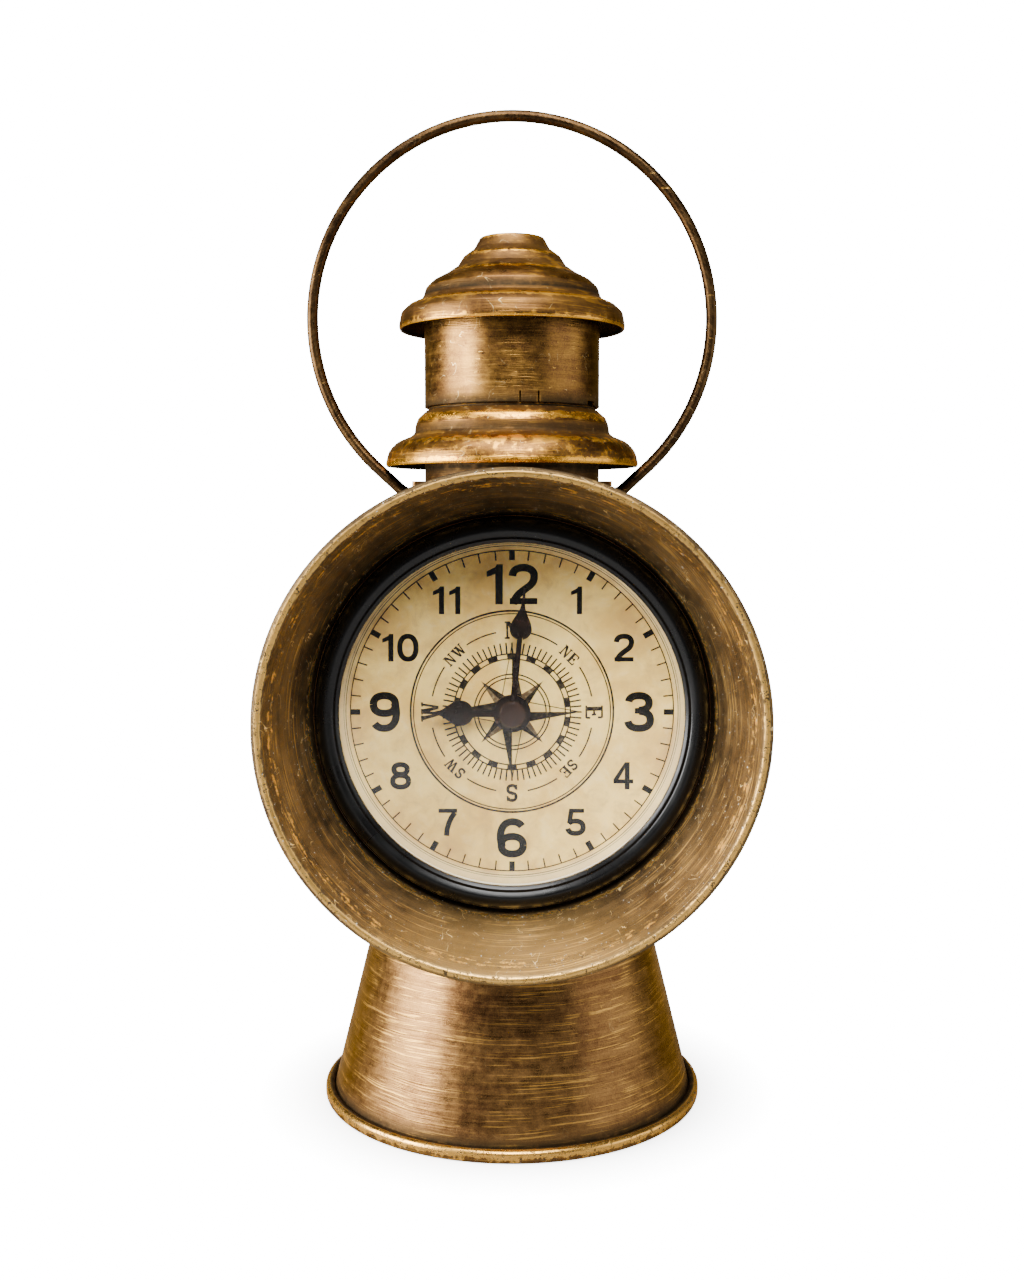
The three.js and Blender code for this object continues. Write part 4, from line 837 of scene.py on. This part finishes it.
def plain(name, colour, roughness, mottled=0.12, scale=60.0, metallic=0.0, relief=0.00003):
    """A plain material with a little mottling in its colour and its gloss."""
    paint, tree = new_paint(name)
    where = object_place(tree)
    coarse, fine = grain(tree, where, scale, 4.0), grain(tree, where, scale * 9, 3.0)
    darker = tuple(c * (1 - 2 * mottled) for c in colour)
    shade(tree, {
        "Base Color": tinted(tree, between(tree, coarse, 0.3, 0.7), darker, colour), "Metallic": metallic,
        "Roughness": between(tree, fine, 0.3, 0.7, roughness * 0.85, min(1.0, roughness * 1.15)),
    }, relief, fine)
    return paint


ivory = plain("ivory_plastic", (0.80, 0.74, 0.60), 0.42, 0.04)
spacer_inside = dial_radius - spacer_wall
spacer = turned("spacer", [
    (dial_radius, spacer_front), (dial_radius, spacer_back), (spacer_inside, spacer_back),
    (spacer_inside, spacer_front),
], about_dial=True)
dressed(spacer, "insert", "white_plastic", ivory, "dial_spacer")

# The dial: a disc of thin sheet with a parchment print, tan and mottled, with a paler band round the
# outside and brown stains towards its edge. It lies on the case's shoulder, under the spacer.
dial_front, dial_back, dial_hole = 5.7, 6.2, 4.2
dial_sheet = revolved("dial_sheet", closely([
    (dial_hole, dial_front, 0, 0), (dial_radius, dial_front, 0, 0), (dial_radius, dial_back, 0, 0),
    (dial_hole, dial_back, 0, 0),
], closed=True, gap=4), about_dial=True)
parchment, t = new_paint("parchment")
here = in_millimetres(t)
centred = step(t, "VectorMath", here, (0, 0, dial_height), operation="SUBTRACT")
flat = step(t, "VectorMath", centred, (1, 0, 1), operation="MULTIPLY")
reach = step(t, "VectorMath", flat, operation="LENGTH")
cloud, blotch = grain(t, here, 0.05, 5.0, 0.6, 0.5), grain(t, here, 0.16, 6.0, 0.7, 0.4)
fleck = grain(t, here, 1.1, 3.0, 0.6)
color = tinted(t, between(t, cloud, 0.36, 0.64), (0.72, 0.435, 0.090), (0.92, 0.64, 0.175))
for share, over in (
    (times(between(t, blotch, 0.48, 0.68), 0.45), (0.50, 0.29, 0.09)),
    (times(between(t, blotch, 0.50, 0.30), 0.35), (0.95, 0.76, 0.33)),
    (times(between(t, reach, 36.0, 50.0), between(t, cloud, 0.30, 0.60, 0.5, 0.0)), (0.42, 0.25, 0.10)),
    (times(between(t, reach, 48.2, 50.4), 0.55), (0.80, 0.66, 0.38)),
    (times(between(t, fleck, 0.70, 0.76), 0.6), (0.22, 0.13, 0.06)),
):
    color = tinted(t, share, color, over)
shade(t, {"Base Color": color, "Roughness": between(t, blotch, 0.3, 0.7, 0.50, 0.66)})
dressed(dial_sheet, "insert", "printed_dial", parchment, "dial")

# The numerals and the blocks at the hours: dense black ink printed on the dial, in a bold grotesque
# whose figures at the quarters are larger. Each figure is drawn in a unit height from bars and bows.
minute_circle, block_length, block_half, ink_front, ink_thick = 48.4, 2.9, 0.84, 5.66, 0.05
large_reach, small_reach, large_height, small_height, broad, digit_gap = 38.3, 38.7, 11.9, 8.25, 1.03, 0.07
black_colour = (0.002, 0.0017, 0.0014)


def inside(spot, outline):
    """Whether a spot lies within an outline."""
    crossed = False
    for (x0, y0), (x1, y1) in zip(outline, [*outline[1:], outline[0]]):
        if (y0 > spot.y) != (y1 > spot.y) and spot.x < x0 + (x1 - x0) * (spot.y - y0) / (y1 - y0):
            crossed = not crossed
    return crossed


def flat_piece(name, outlines, front, thickness):
    """Thin shapes across the clock's front, joined where they overlap: outlines of (right, up)."""
    corners, faces = [], []
    for outline in outlines:
        area = sum(x0 * y1 - x1 * y0 for (x0, y0), (x1, y1) in zip(outline, [*outline[1:], outline[0]]))
        faces.append(list(range(len(corners), len(corners) + len(outline))))
        corners += [Vector(corner) for corner in (outline if area > 0 else outline[::-1])]
    spots, _, triangles, _, _, sources = delaunay_2d_cdt(corners, [], faces, 1, 1e-4)
    build = bmesh.new()
    verts = [build.verts.new(before_dial(x, front, y)) for x, y in spots]
    for triangle, source in zip(triangles, sources):
        middle = sum((spots[i] for i in triangle), Vector((0, 0))) / 3
        if any(inside(middle, outlines[i]) for i in source):
            build.faces.new([verts[i] for i in triangle])
    bmesh.ops.delete(build, geom=[vert for vert in verts if not vert.link_faces], context="VERTS")
    solid = bmesh.ops.extrude_face_region(build, geom=build.faces[:])
    moved = [v for v in solid["geom"] if isinstance(v, bmesh.types.BMVert)]
    bmesh.ops.translate(build, verts=moved, vec=(0, thickness * mm, 0))
    return finished_mesh(name, build, crease=30)


def slab(left, low, right, high):
    return [(left, low), (right, low), (right, high), (left, high)]


def stroke(points, half=0.092):
    """A line of even width through points, as quads, its ends cut square."""
    sides = []
    for i, here in enumerate(points):
        before, after = Vector(points[max(i - 1, 0)]), Vector(points[min(i + 1, len(points) - 1)])
        way = (after - before).normalized()
        here = Vector(here)
        into = (here - before).normalized() if i > 0 else way
        out = Vector((-way.y, way.x)) * half / max(0.5, way.dot(into))
        sides.append((tuple(here + out), tuple(here - out)))
    return [[l0, r0, r1, l1] for (l0, r0), (l1, r1) in zip(sides, sides[1:])]


def bow(cx, cy, rx, ry, start, end, steps=28, squared=0.88):
    """Points on an ellipse, in degrees, a little squared off like a bold grotesque's curves."""
    points = []
    for i in range(steps + 1):
        turn = radians(start + (end - start) * i / steps)
        across, along = (abs(part) ** squared * (1 if part > 0 else -1) for part in (cos(turn), sin(turn)))
        points.append((cx + rx * across, cy + ry * along))
    return points


def smoothed(points, steps=6):
    """A curve through the points."""
    ends = [points[0], *points, points[-1]]
    curve = []
    for i in range(1, len(ends) - 2):
        p0, p1, p2, p3 = (Vector(p) for p in ends[i - 1:i + 3])
        for j in range(steps):
            u = j / steps
            curve.append(tuple(
                0.5 * (2 * p1 + (p2 - p0) * u + (2 * p0 - 5 * p1 + 4 * p2 - p3) * u ** 2
                       + (3 * p1 - p0 - 3 * p2 + p3) * u ** 3)
            ))
    return curve + [tuple(points[-1])]


def typeset(text, shapes, widths, height, gap, stretch=1.0):
    """Characters in one line, centred on (0, 0)."""
    start = -(sum(widths[character] for character in text) + gap * (len(text) - 1)) / 2
    outlines = []
    for character in text:
        for outline in shapes[character]:
            outlines.append([((start + x) * height * stretch, (y - 0.5) * height) for x, y in outline])
        start += widths[character] + gap
    return outlines


def carried(outlines, turn, reach=0.0):
    """Outlines drawn upright at the centre, carried out and turned clockwise."""
    c, s = cos(turn), sin(turn)
    return [[(x * c + (y + reach) * s, -x * s + (y + reach) * c) for x, y in outline] for outline in outlines]


def printed_ink(name, colour, faded):
    """Ink that has soaked into the sheet unevenly."""
    paint, tree = new_paint(name)
    soaked = between(tree, grain(tree, object_place(tree), 700, 5.0, 0.7), 0.46, 0.66)
    color = tinted(tree, maths(tree, "MULTIPLY", soaked, faded), colour, (0.50, 0.38, 0.20))
    shade(tree, {"Base Color": color, "Roughness": 0.7, "Specular IOR Level": 0.05})
    return paint


digits = {
    "0": stroke(bow(0.37, 0.5, 0.285, 0.415, 0, 360, 48)),
    "1": [
        [(0.25, 0), (0.43, 0), (0.43, 1), (0.29, 1), (0.25, 0.93)],
        [(0.25, 0.93), (0.04, 0.82), (0.04, 0.68), (0.25, 0.76)],
    ],
    "2": [slab(0.03, 0, 0.70, 0.155)] + stroke(bow(0.36, 0.695, 0.265, 0.22, 178, 0, 20) + smoothed([
        (0.625, 0.68), (0.60, 0.575), (0.52, 0.47), (0.37, 0.355), (0.235, 0.24), (0.15, 0.11), (0.12, 0),
    ])),
    "3": [slab(0.25, 0.46, 0.40, 0.60)] + stroke(bow(0.345, 0.73, 0.25, 0.185, 172, -90))
    + stroke(bow(0.355, 0.30, 0.275, 0.215, 90, -172)),
    "4": [
        slab(0.42, 0, 0.59, 1), slab(0.02, 0.22, 0.72, 0.37),
        [(0.02, 0.37), (0.20, 0.37), (0.42, 0.77), (0.42, 1.0)],
    ],
    "5": [
        [(0.14, 0.85), (0.65, 0.85), (0.65, 1), (0.12, 1)],
        [(0.12, 1.0), (0.05, 0.47), (0.21, 0.45), (0.27, 0.85)],
    ] + stroke(bow(0.345, 0.315, 0.275, 0.23, 148, -170)),
    "6": stroke(bow(0.375, 0.31, 0.27, 0.225, 0, 360, 44)) + stroke(bow(0.385, 0.52, 0.30, 0.395, 218, 42)),
    "7": [slab(0.04, 0.85, 0.70, 1)]
    + stroke([(0.62, 0.85), (0.50, 0.68), (0.41, 0.48), (0.345, 0.25), (0.32, 0)]),
    "8": stroke(bow(0.37, 0.735, 0.235, 0.18, 0, 360, 40))
    + stroke(bow(0.37, 0.30, 0.28, 0.215, 0, 360, 44)),
}
digits["9"] = [[(0.75 - x, 1 - y) for x, y in outline] for outline in digits["6"]]
digit_widths = {digit: 0.50 if digit == "1" else 0.74 for digit in digits}
ink = []
for hour in range(1, 13):
    turn = hour * pi / 6
    reach, height = (small_reach, small_height) if hour % 3 else (large_reach, large_height)
    for outline in typeset(str(hour), digits, digit_widths, height, digit_gap, broad):
        ink.append([(x + reach * sin(turn), y + reach * cos(turn)) for x, y in outline])
    ink += carried([slab(-block_half, -block_length, block_half, 0)], turn, minute_circle)
dressed(flat_piece("dial_print", ink, ink_front, ink_thick), "insert", "printed_dial",
        printed_ink("black_ink", black_colour, 0.02))

# The compass and the minute track: the same print, finer and in a browner ink. There are rings,
# ticks, a chequered band, letters read from outside, and an eight-pointed star with one dark half to
# each long point and a paler one to each short point. The two thin rings just inside the dial's edge are
# no print but painted reflections of the lens's edge.
brown_colour, pale_colour = (0.010, 0.007, 0.005), (0.10, 0.066, 0.034)
tick_half, degree_half, degree_length, degree_circle = 0.21, 0.23, 3.2, 17.7
arc_inner, arc_outer, arc_near, arc_far = 24.08, 24.52, radians(11.2), radians(33.9)
serif, stem, letter_gap, letter_edge = 0.055, 0.085, 0.10, 0.024
letter_places = {1: (5.0, 24.6), 2: (3.2, 24.2)}
chequer_inner, chequer_outer, star_line, pale_front, pale_thick = 16.1, 17.4, 0.12, 5.67, 0.04
short_point, long_point = (13.1, 4.0, 2.15), (20.5, 3.26, 3.26)
# The rings at 49.70 and 50.35 mm are painted reflections of the lens's edge.
circles = (
    (minute_circle - 0.17, minute_circle + 0.17), (50.35, 50.45), (49.70, 49.88), (30.10, 30.68),
    (29.36, 29.70), (17.32, 17.70), (15.80, 16.18), (11.18, 11.58), (10.03, 10.42),
)


def band(inner, outer, start=0.0, end=2 * pi, steps=180):
    """A band round the centre, as quads; angles go clockwise from twelve."""
    turns = [start + (end - start) * i / steps for i in range(steps + 1)]
    edges = [((inner * sin(a), inner * cos(a)), (outer * sin(a), outer * cos(a))) for a in turns]
    return [[near0, far0, far1, near1] for (near0, far0), (near1, far1) in zip(edges, edges[1:])]


letters = {
    "N": [
        slab(0.14, 0, 0.19, 1), slab(0.71, 0, 0.76, 1), slab(0.02, 0, 0.31, serif),
        [(0.12, 1), (0.30, 1), (0.78, 0.04), (0.76, 0), (0.70, 0)], slab(0.59, 1 - serif, 0.88, 1),
        [(0.02, 1 - serif), (0.28, 1 - serif), (0.24, 1), (0.02, 1)],
    ],
    "E": [
        slab(0.14, 0, 0.31, 1), slab(0.04, 0, 0.78, serif), slab(0.04, 1 - serif, 0.76, 1),
        slab(0.31, 0.47, 0.58, 0.53), [(0.72, 0.05), (0.78, 0.05), (0.81, 0.27), (0.77, 0.27)],
        [(0.70, 0.95), (0.76, 0.95), (0.78, 0.74), (0.74, 0.74)], slab(0.55, 0.38, 0.60, 0.62),
    ],
    "S": stroke(bow(0.37, 0.73, 0.24, 0.22, 20, 255), stem)
    + stroke([(0.30, 0.545), (0.37, 0.51), (0.44, 0.475)], stem)
    + stroke(bow(0.37, 0.27, 0.24, 0.22, 75, -160), stem) + [
        [(0.60, 0.70), (0.65, 0.70), (0.65, 1), (0.60, 0.96)],
        [(0.09, 0), (0.14, 0.04), (0.14, 0.30), (0.09, 0.30)],
    ],
    "W": [
        [(0.10, 1), (0.29, 1), (0.50, 0.0), (0.42, 0)], [(0.46, 0), (0.50, 0), (0.68, 0.86), (0.62, 0.86)],
        [(0.52, 1), (0.71, 1), (0.92, 0), (0.84, 0)], [(0.86, 0), (0.92, 0), (1.10, 1), (1.04, 1)],
        slab(0.02, 1 - serif, 0.38, 1), slab(0.45, 1 - serif, 0.78, 1), slab(0.94, 1 - serif, 1.18, 1),
    ],
}
letter_widths = {"N": 0.90, "E": 0.84, "S": 0.74, "W": 1.20}
fine = []
for inner, outer in circles:
    fine += band(inner, outer)
for minute in range(60):
    if minute % 5:
        fine += carried([slab(-tick_half, -block_length, tick_half, 0)], minute * pi / 30, minute_circle)
for quarter in range(4):
    for near, far in ((-arc_far, -arc_near), (arc_near, arc_far)):
        fine += band(arc_inner, arc_outer, quarter * pi / 2 + near, quarter * pi / 2 + far, 16)
for i in range(72):
    fine += carried([slab(-degree_half, 0, degree_half, degree_length)], i * pi / 36, degree_circle)
for i in range(0, 36, 2):
    fine += band(chequer_inner, chequer_outer, (i - 0.5) * pi / 18, (i + 0.5) * pi / 18, 4)
for i, text in enumerate(("N", "NE", "E", "SE", "S", "SW", "W", "NW")):
    height, reach = letter_places[len(text)]
    for outline in carried(typeset(text, letters, letter_widths, height, letter_gap), i * pi / 4, reach):
        fine += [outline, *stroke(outline + outline[:1], letter_edge * height)]
pale_halves = []
for i in range(8):
    tip, corner, half = short_point if i % 2 else long_point
    fine += carried([[(0, tip), (half, corner), (0, 0)]], i * pi / 4)
    if i % 2:
        pale_halves += carried([[(0, tip), (0, 0), (-half, corner)]], i * pi / 4)
    else:
        fine += carried(stroke([(0, tip), (-half, corner)], star_line), i * pi / 4)
dressed(flat_piece("compass_print", fine, ink_front, ink_thick), "insert", "printed_dial",
        printed_ink("brown_ink", brown_colour, 0.12))
dressed(flat_piece("star_print", pale_halves, pale_front, pale_thick), "insert", "printed_dial",
        printed_ink("pale_ink", pale_colour, 0.5))

# The clock's own case: a cup moulded in matt black plastic. It holds the dial and the movement, has
# a shoulder for the dial and is open at the back round the movement.
case_inner, case_radius, shoulder_face, case_back, back_sheet, opening = 53.6, 54.6, 6.5, 21.8, 1.2, 57.2
case_cup, floor_face = case_inner - 1, case_back - back_sheet
black_matte = plain("black_matte", (0.020, 0.020, 0.021), 0.5, 0.15, 80)
case = turned("insert_case", [
    (0, floor_face), (case_cup, floor_face), (case_cup, shoulder_face), (case_inner, shoulder_face),
    (case_inner, 0), (case_radius, 0), (case_radius, case_back, 0.8), (0, case_back),
], closed=False, about_dial=True)
cutter = block("opening", (opening, 10, opening), Matrix.Translation(before_dial(0, case_back, -1)))
dressed(without(case, cutter), "insert", "black_matte", black_matte, "insert_case")

# The gasket: a soft black rubber band, stretched over the case, with two ribs that grip the drum's
# turned-in mouth.
band_inside, groove, rib, band_front, band_back = 54.9, 55.5, 56.6, 1.6, 9.6
rubber = plain("rubber", (0.018, 0.018, 0.018), 0.75, 0.2, 120)
gasket = turned("gasket", [
    (band_inside, band_front), (groove, band_front, 0.2), (rib, 3.6, 0.5), (groove, 5.6, 0.2),
    (rib, 7.6, 0.5), (groove, band_back, 0.2), (band_inside, band_back),
], about_dial=True)
dressed(gasket, "insert", "rubber", rubber, "grip_gasket")

# The movement keeps the model's own meshes, with one finish to each kind of piece: moulded black
# and ivory, rubber, bright steel, brass, enamelled copper wire, green laminate and the cell's jacket.
steel = plain("bright_steel", (0.56, 0.56, 0.57), 0.32, 0.08, 150, metallic=1.0)
brass = plain("turned_brass", (0.70, 0.48, 0.18), 0.30, 0.08, 150, metallic=1.0)
laminate = plain("green_laminate", (0.025, 0.16, 0.06), 0.4, 0.15, 200)
jacket = plain("cell_jacket", (0.030, 0.034, 0.042), 0.3, 0.1, 100, metallic=0.3)
winding = plain("copper_winding", (0.50, 0.17, 0.06), 0.35, 0.05, 200, metallic=0.9, relief=0.0001)
t = winding.node_tree
wires = t.nodes.new("ShaderNodeTexWave")
wires.inputs["Scale"].default_value = 1400
t.links.new(object_place(t), wires.inputs["Vector"])
t.links.new(wires.outputs["Fac"], t.nodes["Bump"].inputs["Height"])
for paint, nodes in (
    (black_matte, ("movement_front_case", "movement_back_cover", "setting_knob")),
    (ivory, ("middle_plate", "setting_wheel", "hour_wheel", "centre_wheel", "third_wheel", "seconds_wheel",
             "fifth_wheel")),
    (rubber, ("rubber_washer",)), (brass, ("brass_washer", "mounting_nut", "minute_arbor")),
    (steel, ("rotor", "stator", "coil_core", "crystal", "battery_contact_plus", "battery_contact_minus")),
    (laminate, ("circuit_board",)), (jacket, ("battery",)), (winding, ("coil",)),
):
    for node in nodes:
        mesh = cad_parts[node].data
        for i in range(len(mesh.materials)):
            mesh.materials[i] = paint

# The hands: spades pressed from thin brass sheet and painted nearly black, with softly broken edges.
# The hour hand is pushed on the hour wheel's pipe, and the minute hand sits on its arbor.
hand_sheet, hand_edge, minute_turn = 0.5, 0.10, 0.101
hour_turn = 1.5 * pi + minute_turn / 12
hand_paint, t = new_paint("hand_paint")
where = object_place(t)
rubbed_spots = between(t, grain(t, where, 260, 5.0, 0.65), 0.52, 0.74, 0.0, 0.6)
shade(t, {
    "Base Color": tinted(t, rubbed_spots, (0.006, 0.003, 0.002), (0.036, 0.013, 0.007)),
    "Roughness": between(t, grain(t, where, 500, 3.0), 0.3, 0.7, 0.17, 0.30), "Specular IOR Level": 0.35,
})


def hand(name, length, hub, shares, bore, front, turn):
    """A hub and a blade whose half widths and places are shares of its length, with its bore cut."""
    side = smoothed([(across * length, along * length) for across, along in shares] + [(0.05, length)])
    half = side[0][0]
    foot = sqrt(hub ** 2 - half ** 2)
    side[0] = (half, foot)
    start = atan2(half, foot)
    round_hub = [-start - (2 * pi - 2 * start) * i / 64 for i in range(1, 64)]
    outline = side + [(-x, y) for x, y in reversed(side)]
    outline = carried([outline + [(hub * sin(a), hub * cos(a)) for a in round_hub]], turn)[0]
    build, rims = prism(*(
        [before_dial(x, place, y) for x, y in outline] for place in (front, front + hand_sheet)
    ))
    softened(build, rims, hand_edge, clamp=True)
    hole = rod(bore, 4, Matrix.Translation(before_dial(0, front, 0)) @ Matrix.Rotation(pi / 2, 4, "X"))
    return without(finished_mesh(name, build, crease=50), finished_mesh("bore", hole), crease=50)


dressed(hand("hour_hand", 26.5, 5.6, [
    (0.041, 0.2), (0.041, 0.425), (0.052, 0.440), (0.095, 0.468), (0.130, 0.515), (0.143, 0.575),
    (0.130, 0.645), (0.088, 0.715), (0.038, 0.79), (0.016, 0.87), (0.01, 0.985),
], 2.6, 1.7, hour_turn), "hour", "hand_paint", hand_paint, "hour_hand")
dressed(hand("minute_hand", 37.9, 3.4, [
    (0.025, 0.08), (0.0205, 0.570), (0.027, 0.588), (0.058, 0.608), (0.080, 0.640), (0.086, 0.676),
    (0.07, 0.73), (0.036, 0.795), (0.015, 0.856), (0.007, 0.99),
], 1.55, 0.4, minute_turn), "minute", "hand_paint", hand_paint, "minute_hand")

# The cap nut: a closed round nut turned from brass and painted like the hands, screwed on the minute
# arbor to hold the minute hand. Its crown is slightly hollow and rubbed to a browner tone.
nut_radius, nut_bore, nut_back, nut_bottom, nut_front = 3.95, 1.55, 0.1, -1.1, -1.5
nut_paint = plain("nut_paint", (0.024, 0.010, 0.006), 0.24, 0.25, 250)
cap_nut = turned("cap_nut", [
    (0, nut_bottom), (nut_bore, nut_bottom), (nut_bore, nut_back), (nut_radius, nut_back, 0.15),
    (nut_radius, -0.95, 0.3), (3.45, nut_front, 0.5), (3.1, -1.38, 0.2), (2.6, -1.42, 0.4), (0, nut_front),
], closed=False, gap=0.5, about_dial=True, steps=64)
dressed(cap_nut, "minute", "hand_paint", nut_paint, "cap_nut")
